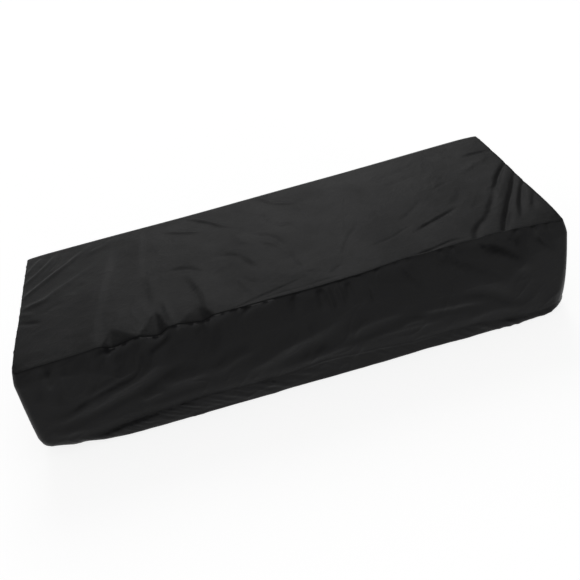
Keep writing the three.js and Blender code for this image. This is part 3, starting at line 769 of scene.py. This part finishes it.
@dataclass
class Sheet:
    """A panel's cloth: a grid of places on its outer face, with what its finish reads there.

    Attributes:
        name: of the piece.
        points: places in millimetres, by column and row.
        cloth: the same places on the flat cloth, in millimetres.
        wear_and_highlight: how worn the cloth is at each place, and on the walls how strongly a highlight is
            painted on the crests of gathers and puckers, 0 to 1.
        stitch: distance below the nearest stitched line, in millimetres.
        thickness: of the cloth.
        sharp: angle past which two faces meet in a sharp edge, in degrees.
    """

    name: str
    points: np.ndarray
    cloth: np.ndarray
    wear_and_highlight: np.ndarray
    stitch: np.ndarray
    thickness: float = 1.1
    sharp: float = 70

    def make(self, finish: bpy.types.Material) -> bpy.types.Object:
        """The sheet as a thin closed piece.

        Args:
            finish: its material.

        Returns:
            The piece, at the origin.
        """
        columns, rows = self.points.shape[0] - 1, self.points.shape[1] - 1
        bpy.ops.object.select_all(action="DESELECT")
        bpy.ops.mesh.primitive_grid_add(x_subdivisions=columns, y_subdivisions=rows, size=1.0)
        piece = bpy.context.object
        piece.name = piece.data.name = self.name
        mesh = piece.data
        flat = np.empty(len(mesh.vertices) * 3)
        mesh.vertices.foreach_get("co", flat)
        flat = flat.reshape(-1, 3)
        column = np.rint((flat[:, 0] + 0.5) * columns).astype(int)
        row = np.rint((flat[:, 1] + 0.5) * rows).astype(int)
        mesh.vertices.foreach_set("co", (self.points[column, row] * MM).ravel())
        loops = np.empty(len(mesh.loops), dtype=np.int32)
        mesh.loops.foreach_get("vertex_index", loops)
        cloth = self.cloth[column, row] * MM
        mesh.uv_layers.active.data.foreach_set("uv", cloth[loops].ravel())
        for name, values in (("wear_and_highlight", self.wear_and_highlight), ("stitch", self.stitch)):
            layer = mesh.attributes.new(name, "FLOAT", "POINT")
            layer.data.foreach_set("value", values[column, row].astype(np.float32))
        mesh.update()
        solid = piece.modifiers.new("Cloth thickness", "SOLIDIFY")
        solid.thickness = self.thickness * MM
        solid.offset = -1.0
        bpy.ops.object.modifier_apply(modifier=solid.name)
        bpy.ops.object.shade_smooth_by_angle(angle=math.radians(self.sharp))
        mesh.materials.clear()
        mesh.materials.append(finish)
        return piece


@dataclass
class PanelWork:
    """How every panel is worked: its grid, its seam and the small unevenness of its cloth.

    Attributes:
        shape: the cover's shape.
        rim: widths of the first cells next to a seam.
        groove: depth and half width of the groove along a seam.
        ripple: heights and grains of the cloth's soft unevenness.
        crinkle: height, grain and sharpness of its fine creases.
        lie: direction in which they run, in degrees from the panel's length, and how far they stretch.
        wander: how far they wander, and over what distance.
        patches: size of the patches in which they show.
        worn: how worn the cloth is at most beside a seam, how far from it, and over what width.
        wear_grain: size of the patches of that wear.
    """

    shape: CoverShape
    rim: tuple[float, ...] = (0.7, 0.8, 1.0, 1.3, 1.6, 2.0)
    groove: Place = (0.7, 0.9)
    ripple: Rows = ((1.1, 88.0), (0.55, 37.0))
    crinkle: tuple[float, float, float] = (0.4, 26.0, 2.4)
    lie: Place = (60.0, 2.4)
    wander: Place = (18.0, 60.0)
    patches: float = 90.0
    worn: tuple[float, float, float] = (0.8, 5.0, 6.0)
    wear_grain: float = 40.0

    def lines(self, half: float, pitch: float) -> np.ndarray:
        """Grid lines from end to end, closer together at both ends.

        Args:
            half: half the distance from end to end.
            pitch: distance between two lines.

        Returns:
            Place of each line.
        """
        near = -half + np.concatenate([[0.0], np.cumsum(self.rim)])
        count = round((2 * half - 2 * sum(self.rim)) / pitch)
        return np.concatenate([near, np.linspace(near[-1], -near[-1], count + 1)[1:-1], -near[::-1]])

    def unevenness(self, u: np.ndarray, v: np.ndarray, seed: int) -> np.ndarray:
        """Soft ripples and fine creases of the cloth.

        Args:
            u: first coordinate of each place on the cloth.
            v: second coordinate.
            seed: seed of the pattern.

        Returns:
            Height at each place.
        """
        total = np.zeros_like(u)
        for turn, (height, grain) in enumerate(self.ripple):
            total += height * grained(u, v, grain, 40, seed + turn)
        height, grain, sharp = self.crinkle
        turned, stretch = math.radians(self.lie[0]), self.lie[1]
        bent_u = u + self.wander[0] * grained(u, v, self.wander[1], 9, seed + 7)
        bent_v = v + self.wander[0] * grained(u, v, self.wander[1], 30, seed + 8)
        along = (bent_u * math.cos(turned) + bent_v * math.sin(turned)) / (grain * stretch)
        across = (bent_v * math.cos(turned) - bent_u * math.sin(turned)) / grain
        crease = 1 - np.abs(smooth_noise(along + 50, across + 50, seed + 9)) * sharp
        patch = ease(0.4 + 1.6 * grained(u, v, self.patches, 5, seed + 10))
        return total + height * patch * np.clip(crease, 0, 1) ** 3

    def rubbed(self, u: np.ndarray, v: np.ndarray, from_seam: np.ndarray, seed: int) -> np.ndarray:
        """How worn the cloth is beside a seam, in patches.

        Args:
            u: first coordinate of each place on the cloth.
            v: second coordinate.
            from_seam: distance of each place from the seam.
            seed: seed of the patches.

        Returns:
            Wear at each place, 0 to 1.
        """
        most, middle, width = self.worn
        patch = ease(0.5 + 1.5 * grained(u, v, self.wear_grain, 3, seed))
        return most * bell(from_seam - middle, width) * patch

    def normals(self, points: np.ndarray) -> np.ndarray:
        """Outward unit normals of a grid whose columns and rows turn counter-clockwise."""
        across = np.cross(np.gradient(points, axis=0), np.gradient(points, axis=1))
        return across / np.maximum(np.linalg.norm(across, axis=-1, keepdims=True), 1e-9)


@dataclass
class TopPanel(PanelWork):
    """The top panel, which lies on the instrument and is sewn to the four walls.

    Attributes:
        pitch: width of its grid's cells.
        even: width along the seams that stays even, and over which the unevenness comes in.
    """

    pitch: float = 3.1
    even: Place = (3.0, 22.0)

    def build(self, finish: bpy.types.Material) -> bpy.types.Object:
        """The top's sheet.

        Args:
            finish: its material.

        Returns:
            The piece.
        """
        shape = self.shape
        gx, gy = np.meshgrid(
            self.lines(shape.half_x, self.pitch), self.lines(shape.half_y, self.pitch), indexing="ij"
        )
        points = shape.top(gx, gy)
        edge = shape.edge(gx, gy)
        inner = ease((edge - self.even[0]) / self.even[1])
        points += self.normals(points) * (inner * self.unevenness(gx, gy, 11))[..., None]
        line = np.interp(gx, *zip(*shape.seam_line))
        points[..., 2] -= line * self.groove[0] * bell(edge, self.groove[1])
        wear_and_highlight = self.rubbed(gx, gy, edge, 5)
        sheet = Sheet("top_cloth", points, np.stack([gx, gy], -1), wear_and_highlight, np.full_like(edge, NO_STITCH))
        return sheet.make(finish)


@dataclass
class WallPanel(PanelWork):
    """A wall of the cover, from its seam with the top down to the free edge of its gathered hem.

    Attributes:
        side: which wall it is.
        folds: its folds, in place along the wall and height.
        seed: seed of its unevenness.
        pitch: width of its grid's cells.
        shoulder: stages of its grid's rows on the rounded shoulder.
        fall: height of its grid's cells, on the wall and on its hem.
        drop: height that the wall's cells share.
        puckers: gathers just below its seam.
        gathers: gathers of its hem.
        runs: furthest that a pucker and a gather run along the wall.
        crease: depth of the crease over the hem, and its reach above and below.
        creased: share of that depth by place along the wall.
        at_end: share that is left of it at the wall's ends.
        puff: how far the hem swells out under the crease, over what height, and how many heights in all.
        calm: drop over which the folds begin, and share of the last stage over which they end.
        even: distance from the seam and from the ends over which the unevenness comes in.
        begin: distance from the ends and from the seam over which the puckers come in, and from the ends
            over which the gathers do.
        crest_highlight: reach below the crease and height at which a gather's crest takes its full painted
            highlight.
        crinkle: as in PanelWork.
        lie: as in PanelWork.
        worn: as in PanelWork.
    """

    side: Side = Side.FRONT
    folds: tuple[Fold, ...] = ()
    seed: int = 1
    pitch: float = 3.0
    shoulder: tuple[float, ...] = (0, 0.04, 0.085, 0.14, 0.2, 0.28, 0.37, 0.47, 0.58, 0.7, 0.84)
    fall: Place = (3.0, 2.2)
    drop: float = 150.0
    puckers: list[Gather] = field(default_factory=list)
    gathers: list[Gather] = field(default_factory=list)
    runs: Place = (60.0, 150.0)
    crease: tuple[float, float, float] = (3.0, 14.0, 2.4)
    creased: Rows = ((0, 0.6),)
    at_end: float = 0.45
    puff: tuple[float, float, float] = (1.6, 12.0, 2.6)
    calm: Place = (12.0, 0.07)
    even: Place = (12.0, 14.0)
    begin: tuple[float, float, float] = (20.0, 1.4, 10.0)
    crest_highlight: Place = (2.0, 2.4)
    crinkle: tuple[float, float, float] = (0.85, 27.0, 2.4)
    lie: Place = (-28.0, 2.6)
    worn: tuple[float, float, float] = (0.5, 7.0, 7.0)

    def stages(self) -> np.ndarray:
        """Stages of the grid's rows.

        Returns:
            The stages, from the free edge up to the seam.
        """
        straight = 1 + np.linspace(0, 1, round(self.drop / self.fall[0]) + 1)[:-1]
        hem = 2 + np.linspace(0, 1, round(self.shape.hem / self.fall[1]) + 1)
        return np.concatenate([self.shoulder, straight, hem])[::-1]

    def relief(
        self, at: np.ndarray, stage: np.ndarray, z: np.ndarray, down: np.ndarray, past: np.ndarray
    ) -> np.ndarray:
        """How far the cloth stands out from the plain wall.

        Args:
            at: place along the wall, as a column vector.
            stage: stage of each row, as a row vector.
            z: height of each place.
            down: distance of each place below the seam.
            past: distance of each place below the hem's crease.

        Returns:
            Height at each place.
        """
        ends = self.shape.ends(self.side)
        from_end = np.minimum(np.abs(at - ends[0]), np.abs(at - ends[1]))
        corner = ease(from_end / self.shape.fade[2])
        below_seam = ease(down / self.calm[0])
        above_hem = ease((2 - stage) / self.calm[1] + 1)
        wide = np.broadcast_to(at, z.shape)
        round_cover = self.shape.start(self.side) + np.abs(wide - ends[0])
        folds = below_seam * above_hem * corner * relief(self.folds, wide, z)
        soft_seam = ease(down / self.even[0]) * ease(from_end / self.even[1])
        uneven = soft_seam * self.unevenness(round_cover, down, self.seed)
        puckers = ease(from_end / self.begin[0]) * ease(down / self.begin[1])
        puckers = puckers * lift_of(self.puckers, at, down, self.runs[0])
        drawn = np.interp(at, *zip(*self.creased)) * (self.at_end + (1 - self.at_end) * corner)
        groove = -self.crease[0] * bell(past, np.where(past < 0, self.crease[1], self.crease[2]))
        out, swell, swells = self.puff
        puff = out * ease(past / swell) * ease(swells - past / swell)
        gathers = ease(from_end / self.begin[2]) * lift_of(self.gathers, at, past, self.runs[1])
        return folds + uneven + puckers + drawn * (groove + puff + gathers)

    def gathered(self, at: np.ndarray, down: np.ndarray, past: np.ndarray) -> np.ndarray:
        """How far each place lies on the crest of a gather or pucker, where a highlight is painted.

        Args:
            at: place along the wall, as a column vector.
            down: distance of each place below the seam.
            past: distance of each place below the hem's crease.

        Returns:
            Share at each place, 0 to 1.
        """
        drawn = np.interp(at, *zip(*self.creased))
        hem = drawn * lift_of(self.gathers, at, past, self.runs[1]) * ease(past / self.crest_highlight[0])
        return np.clip((lift_of(self.puckers, at, down, self.runs[0]) + hem) / self.crest_highlight[1], 0, 1)

    def build(self, finish: bpy.types.Material) -> bpy.types.Object:
        """The wall's sheet.

        Args:
            finish: its material.

        Returns:
            The piece.
        """
        shape, ends = self.shape, self.shape.ends(self.side)
        places = self.lines(max(ends), self.pitch)
        at = (places if ends[0] < ends[1] else places[::-1])[:, None]
        stage = self.stages()[None, :]
        plain = shape.wall(self.side, at, stage)
        steps = np.linalg.norm(np.diff(plain, axis=1), axis=-1)
        down = np.concatenate([np.cumsum(steps[:, ::-1], axis=1)[:, ::-1], np.zeros((len(at), 1))], axis=1)
        crease_row = int(np.argmin(np.abs(stage[0] - 2)))
        past = down - down[:, crease_row : crease_row + 1]
        lifted = self.relief(at, stage, plain[..., 2], down, past)
        points = plain + self.normals(plain) * lifted[..., None]
        line = np.interp(shape.spot(self.side, at)[0], *zip(*shape.seam_line))
        points[..., 2] -= line * self.groove[0] * bell(down, self.groove[1])
        points[..., 2] = np.maximum(points[..., 2], 0.0)
        wide = np.broadcast_to(at, down.shape)
        # Wear beside the seam, and a painted highlight on the crests of gathers and puckers.
        wear_and_highlight = np.maximum(self.rubbed(wide, down, down, 6), self.gathered(at, down, past))
        along = shape.start(self.side) + np.abs(wide - ends[0])
        sheet = Sheet(f"{self.side.value}_cloth", points, np.stack([along, -down], -1), wear_and_highlight, past)
        return sheet.make(finish)


class NodeBoard:
    """Lays out and joins the nodes of one material."""

    def __init__(self, material: bpy.types.Material) -> None:
        """Start from a material's own shader.

        Args:
            material: the material.
        """
        material.use_nodes = True
        self.tree = material.node_tree
        self.shader = self.tree.nodes["Principled BSDF"]

    def add(self, kind: str, **values: object) -> bpy.types.Node:
        """A node with its settings and inputs.

        Args:
            kind: the node's type.
            values: settings by attribute, and inputs by name with spaces written as underscores.

        Returns:
            The node.
        """
        node = self.tree.nodes.new(kind)
        for name, value in values.items():
            if hasattr(node, name):
                setattr(node, name, value)
            else:
                self.feed(node.inputs[name.replace("_", " ")], value)
        return node

    def feed(self, socket: bpy.types.NodeSocket, value: object) -> None:
        """Join a socket to an output, or set its number.

        Args:
            socket: the input.
            value: what goes into it.
        """
        if isinstance(value, bpy.types.NodeSocket):
            self.tree.links.new(value, socket)
        else:
            socket.default_value = value

    def math(self, operation: str, *values: object) -> bpy.types.NodeSocket:
        """Work values out.

        Args:
            operation: the node's operation.
            values: one to three numbers or outputs.

        Returns:
            The result.
        """
        node = self.add("ShaderNodeMath", operation=operation)
        for socket, value in zip(node.inputs, values):
            self.feed(socket, value)
        return node.outputs[0]

    def ramp(self, value: object, source: Place, target: Place) -> bpy.types.NodeSocket:
        """Ease a value from one range to another.

        Args:
            value: the value.
            source: its lowest and highest.
            target: what those become.

        Returns:
            The eased value.
        """
        node = self.add("ShaderNodeMapRange", interpolation_type="SMOOTHSTEP")
        names = ("Value", "From Min", "From Max", "To Min", "To Max")
        for name, given in zip(names, (value, *source, *target)):
            self.feed(node.inputs[name], given)
        return node.outputs[0]


@dataclass(frozen=True)
class Taffeta:
    """Thin black coated taffeta, with a soft satin gloss.

    Attributes:
        name: of the material.
        colour: of the cloth.
        worn: colour where it is rubbed, and of the highlight painted on the crests of gathers and puckers.
        roughness: of the cloth between its threads.
        gloss: specular level.
        sheen: weight and roughness of the fuzz of its threads.
        thread: width of a thread, in metres.
        stitch: length of a stitch and its gap, in metres.
        clouds: scale of its broad unevenness.
        slubs: scale of its slubs across and along a thread.
        crackle: scale of its finest creases, and strength and depth in metres of their relief.
        bending: scale and strength of the bends in those creases.
        grain: strength and depth in metres of the relief of its threads.
    """

    name: str = "black taffeta"
    colour: tuple[float, float, float] = (0.0030, 0.0030, 0.0034)
    worn: tuple[float, float, float] = (0.012, 0.012, 0.0128)
    roughness: float = 0.45
    gloss: float = 0.135
    sheen: Place = (0.02, 0.4)
    thread: float = 0.00045
    stitch: float = 0.0032
    clouds: float = 9.0
    slubs: Place = (14.0, 420.0)
    crackle: tuple[float, float, float] = (42.0, 0.2, 0.0004)
    bending: Place = (26.0, 0.014)
    grain: Place = (0.25, 0.00012)

    def build(self) -> bpy.types.Material:
        """Make the material, with its weave, stitches, wear, painted highlights on gather crests and
        unevenness.

        Returns:
            The material.
        """
        material = bpy.data.materials.new(self.name)
        board = NodeBoard(material)
        cloth = board.add("ShaderNodeUVMap", uv_map="UVMap").outputs["UV"]
        place = board.add("ShaderNodeTexCoord").outputs["Object"]
        apart = board.add("ShaderNodeSeparateXYZ", Vector=cloth)
        warp = self.threads(board, apart.outputs["X"], 1.0)
        weft = self.threads(board, apart.outputs["Y"], 0.8)
        weave = board.math("MULTIPLY_ADD", warp, 0.4, weft)
        clouds = board.add("ShaderNodeTexNoise", Vector=place, Scale=self.clouds, Detail=3.0, Roughness=0.6)
        slubs = board.add("ShaderNodeMapping", Vector=cloth, Scale=(*self.slubs, 1.0))
        slub = board.add("ShaderNodeTexNoise", Vector=slubs.outputs[0], Scale=1.0, Detail=2.0)
        # Wear, and on the walls a painted highlight on the crests of gathers and puckers.
        wear_and_highlight = board.add("ShaderNodeAttribute", attribute_name="wear_and_highlight")
        stitch = self.stitches(board, apart.outputs["X"])
        uneven = board.ramp(clouds.outputs["Fac"], (0.3, 0.7), (0.0, 1.0))
        # Share of the lighter colour: wear and the painted crest highlight, then slubs, clouds and stitches.
        worn = board.math("MULTIPLY", wear_and_highlight.outputs["Fac"], board.math("MULTIPLY_ADD", uneven, 0.5, 0.25))
        worn = board.math("MULTIPLY_ADD", slub.outputs["Fac"], 0.1, worn)
        worn = board.math("MULTIPLY_ADD", uneven, 0.08, worn)
        worn = board.math("MAXIMUM", worn, board.math("MULTIPLY", stitch, 0.9))
        tone = board.add("ShaderNodeMix", data_type="RGBA")
        board.feed(tone.inputs["Factor"], worn)
        ends = [socket for socket in tone.inputs if socket.type == "RGBA"]
        for socket, colour in zip(ends, (self.colour, self.worn)):
            socket.default_value = (*colour, 1.0)
        colour = next(socket for socket in tone.outputs if socket.type == "RGBA")
        board.feed(board.shader.inputs["Base Color"], colour)
        rough = board.math("MULTIPLY_ADD", slub.outputs["Fac"], 0.06, self.roughness - 0.06)
        rough = board.math("MULTIPLY_ADD", uneven, 0.06, rough)
        board.feed(board.shader.inputs["Roughness"], rough)
        normal = self.surface(board, cloth, weave, slub.outputs["Fac"], stitch)
        board.feed(board.shader.inputs["Normal"], normal)
        board.shader.inputs["Specular IOR Level"].default_value = self.gloss
        board.shader.inputs["Sheen Weight"].default_value = self.sheen[0]
        board.shader.inputs["Sheen Roughness"].default_value = self.sheen[1]
        return material

    def threads(self, board: NodeBoard, across: bpy.types.NodeSocket, size: float) -> bpy.types.NodeSocket:
        """Rounded threads side by side, from 0 between them to 1 on them."""
        turns = board.math("MULTIPLY", across, math.pi / (self.thread * size))
        return board.math("ABSOLUTE", board.math("SINE", turns))

    def stitches(self, board: NodeBoard, along: bpy.types.NodeSocket) -> bpy.types.NodeSocket:
        """Short stitches on the hem's stitched line.

        Args:
            board: the material's nodes.
            along: place along the cloth.

        Returns:
            1 on the thread, 0 beside it.
        """
        below = board.add("ShaderNodeAttribute", attribute_name="stitch").outputs["Fac"]
        near = board.ramp(board.math("ABSOLUTE", below), (0.25, 0.6), (1.0, 0.0))
        dash = board.math("SINE", board.math("MULTIPLY", along, 2 * math.pi / self.stitch))
        return board.math("MULTIPLY", near, board.ramp(dash, (-0.5, -0.1), (0.0, 1.0)))

    def surface(
        self,
        board: NodeBoard,
        cloth: bpy.types.NodeSocket,
        weave: bpy.types.NodeSocket,
        slub: bpy.types.NodeSocket,
        stitch: bpy.types.NodeSocket,
    ) -> bpy.types.NodeSocket:
        """The fine relief of the weave, slubs and stitches, and the crackle of crumpled taffeta.

        Args:
            board: the material's nodes.
            cloth: place on the flat cloth.
            weave: height of the threads.
            slub: height of the slubs.
            stitch: height of the stitches.

        Returns:
            The normal.
        """
        bends = board.add("ShaderNodeTexNoise", Vector=cloth, Scale=self.bending[0], Detail=2.0)
        bent = board.add("ShaderNodeVectorMath", operation="MULTIPLY_ADD")
        reach = (self.bending[1], self.bending[1], 0.0)
        for socket, value in zip(bent.inputs, (bends.outputs["Color"], reach, cloth)):
            board.feed(socket, value)
        scale, strength, depth = self.crackle
        crackle = board.add(
            "ShaderNodeTexVoronoi", feature="DISTANCE_TO_EDGE", Vector=bent.outputs[0], Scale=scale
        )
        crease = board.ramp(crackle.outputs["Distance"], (0.0, 0.16), (1.0, 0.0))
        fine = board.math("MULTIPLY_ADD", slub, 0.4, weave)
        fine = board.math("MULTIPLY_ADD", stitch, 3.0, fine)
        first = board.add("ShaderNodeBump", Strength=strength, Distance=depth, Height=crease)
        second = board.add("ShaderNodeBump", Strength=self.grain[0], Distance=self.grain[1], Height=fine)
        board.feed(second.inputs["Normal"], first.outputs[0])
        return second.outputs[0]


@dataclass(frozen=True)
class Studio:
    """A pale floor under an even sky and three large soft lights.

    Attributes:
        floor_size: of the floor.
        floor_drop: how far the floor lies below the hem.
        floor_colour: of the floor.
        floor_finish: roughness and gloss of the floor.
        floor_glow: how much the floor shines by itself, as paper lit from all sides.
        sky: strength of the sky.
        lamps: name, azimuth, elevation, strength and softness of each light.
    """

    floor_size: float = 60.0
    floor_drop: float = 0.0006
    floor_colour: tuple[float, float, float] = (0.45, 0.45, 0.45)
    floor_finish: Place = (0.9, 0.1)
    floor_glow: float = 0.84
    sky: float = 0.25
    lamps: tuple[tuple[str, float, float, float, float], ...] = (
        ("back", 6.0, 39.0, 0.5, 34.0),
        ("rim", -22.0, 6.0, 0.05, 12.0),
        ("front", 166.0, 4.0, 0.42, 17.0),
    )

    def build(self) -> None:
        """Make the floor, the sky and the lights."""
        bpy.ops.object.select_all(action="DESELECT")
        bpy.ops.mesh.primitive_plane_add(size=self.floor_size, location=(0.0, 0.0, -self.floor_drop))
        floor = bpy.context.object
        floor.name = "studio_floor"
        bpy.ops.object.transform_apply(location=True, rotation=True, scale=True)
        paper = bpy.data.materials.new("pale paper")
        board = NodeBoard(paper)
        board.shader.inputs["Base Color"].default_value = (*self.floor_colour, 1.0)
        board.shader.inputs["Roughness"].default_value = self.floor_finish[0]
        board.shader.inputs["Specular IOR Level"].default_value = self.floor_finish[1]
        board.shader.inputs["Emission Color"].default_value = (1.0, 1.0, 1.0, 1.0)
        board.shader.inputs["Emission Strength"].default_value = self.floor_glow
        floor.data.materials.append(paper)
        world = bpy.data.worlds.new("studio sky")
        bpy.context.scene.world = world
        world.use_nodes = True
        sky = world.node_tree.nodes["Background"]
        sky.inputs["Color"].default_value = (1.0, 1.0, 1.0, 1.0)
        sky.inputs["Strength"].default_value = self.sky
        for row in self.lamps:
            self.lamp(*row)
        bpy.context.scene.view_settings.view_transform = "Standard"

    def lamp(self, name: str, azimuth: float, elevation: float, strength: float, softness: float) -> None:
        """A large light, far away.

        Args:
            name: of the light.
            azimuth: degrees from behind the cover towards its right.
            elevation: degrees above the floor.
            strength: of the light.
            softness: how wide it looks, in degrees.
        """
        turn, rise = math.radians(azimuth), math.radians(elevation)
        towards = Vector((math.sin(turn) * math.cos(rise), math.cos(turn) * math.cos(rise), math.sin(rise)))
        bpy.ops.object.light_add(type="SUN", location=towards * 5.0)
        lamp = bpy.context.object
        lamp.name = f"{name}_light"
        lamp.rotation_mode = "QUATERNION"
        lamp.rotation_quaternion = towards.to_track_quat("Z", "Y")
        lamp.data.energy = strength
        lamp.data.angle = math.radians(softness)


@dataclass(frozen=True)
class StudioCamera:
    """A camera in front of the cover and above it, rolled to one side.

    Attributes:
        azimuth: degrees from straight in front, towards the cover's right.
        elevation: degrees above the floor.
        roll: degrees about its line of sight.
        place: where it stands, in metres.
        lens: focal length, in millimetres.
        shift: of the picture, sideways and up.
    """

    azimuth: float = -4.4
    elevation: float = 34.0
    roll: float = -13.2
    place: tuple[float, float, float] = (-0.0949, -1.3122, 0.9592)
    lens: float = 48.48
    shift: Place = (0.0043, 0.001)

    def build(self) -> None:
        """Make the camera and look through it."""
        turn, rise, roll = (math.radians(value) for value in (self.azimuth, self.elevation, self.roll))
        back = Vector((math.sin(turn) * math.cos(rise), -math.cos(turn) * math.cos(rise), math.sin(rise)))
        level = Vector((math.cos(turn), math.sin(turn), 0.0))
        upright = back.cross(level)
        right = level * math.cos(roll) + upright * math.sin(roll)
        up = upright * math.cos(roll) - level * math.sin(roll)
        bpy.ops.object.camera_add()
        camera = bpy.context.object
        camera.name = "studio_camera"
        camera.matrix_world = Matrix.Translation(self.place) @ Matrix((right, up, back)).transposed().to_4x4()
        camera.data.sensor_width = 36.0
        camera.data.lens = self.lens
        camera.data.shift_x, camera.data.shift_y = self.shift
        bpy.context.scene.camera = camera


@dataclass
class Cover:
    """The whole cover: its panels, their finish and what each stands for.

    Attributes:
        shape: of the cover.
        finish: of its cloth.
    """

    shape: CoverShape = field(default_factory=CoverShape)
    finish: Taffeta = field(default_factory=Taffeta)

    def walls(self) -> list[WallPanel]:
        """The four walls, each with its own folds and gathers.

        Returns:
            The walls, counter-clockwise from the front.
        """
        half_x, half_y = self.shape.half_x, self.shape.half_y
        # Each row of gathers: seed, ends, gap, slant, height, reach, and run above and below its line.
        strong = gather_row(21, (-345, -30), (8, 22), (-2.6, 0.6), (2.4, 5.4), (2.4, 4.6), (9, 12), (5, 18))
        faint = gather_row(22, (-20, 495), (14, 52), (-1.5, 1.0), (0.8, 2.2), (2.2, 4.0), (9, 12), (6, 18))
        front_hem = gather_row(
            23, (-half_x, half_x), (7, 14), (1.0, 2.4), (1.0, 2.6), (1.8, 3.2), (1, 3), (9, 20)
        )
        front = WallPanel(
            self.shape, folds=FRONT_FOLDS, seed=31, pitch=2.1, fall=(2.7, 2.2), puckers=strong + faint,
            gathers=front_hem, creased=FRONT_CREASE,
        )
        walls = [front]
        others = {
            Side.RIGHT: (RIGHT_FOLDS, half_y),
            Side.BACK: (BACK_FOLDS, half_x),
            Side.LEFT: (LEFT_FOLDS, half_y),
        }
        for number, (side, (folds, half)) in enumerate(others.items()):
            seam = gather_row(
                51 + number, (-half, half), (22, 52), (-0.9, 0.9), (0.4, 1.3), (2.4, 4.5), (9, 12), (9, 22)
            )
            hem = gather_row(
                41 + number, (-half, half), (8, 18), (-1.4, 1.8), (1.2, 2.6), (2.4, 4.4), (6, 18), (20, 60)
            )
            seed = 61 + 10 * number
            walls.append(WallPanel(self.shape, side=side, folds=folds, seed=seed, puckers=seam, gathers=hem))
        return walls

    def build(self) -> None:
        taffeta = self.finish.build()
        top = TopPanel(self.shape).build(taffeta)
        self.declare(top, "top_panel", (0.416, 1.0), "laid")
        long_cut, end_cut = (0.24, 1.006), (0.24, 0.416)
        parts = {
            Side.FRONT: ("front_panel", long_cut),
            Side.RIGHT: ("right_end", end_cut),
            Side.BACK: ("back_panel", long_cut),
            Side.LEFT: ("left_end", end_cut),
        }
        for wall in self.walls():
            self.declare(wall.build(taffeta), *parts[wall.side], "gathered", (top,))

    def declare(
        self,
        piece: bpy.types.Object,
        node: str,
        flat: Place,
        held: str,
        rests_on: tuple[bpy.types.Object, ...] = (),
    ) -> None:
        """Hang a panel's sheet on the root, hide the solid that it stands for, and log its size.

        Args:
            piece: the panel's sheet.
            node: the solid that it stands for.
            flat: width and length that it was cut to, in metres.
            held: how it is held; not used.
            rests_on: what it hangs from; not used.
        """
        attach(piece, "root")
        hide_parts(node)
        LOG.info("%s: %d faces, cut to %.3f by %.3f m", piece.name, len(piece.data.polygons), *flat)


def main() -> None:
    """Build the camera, the studio and the cover."""
    logging.basicConfig(level=logging.INFO, format="%(message)s")
    StudioCamera().build()
    LOG.info("studio_camera: in place")
    Studio().build()
    LOG.info("studio: floor, sky and lights in place")
    Cover().build()


if __name__ == "__main__":
    main()
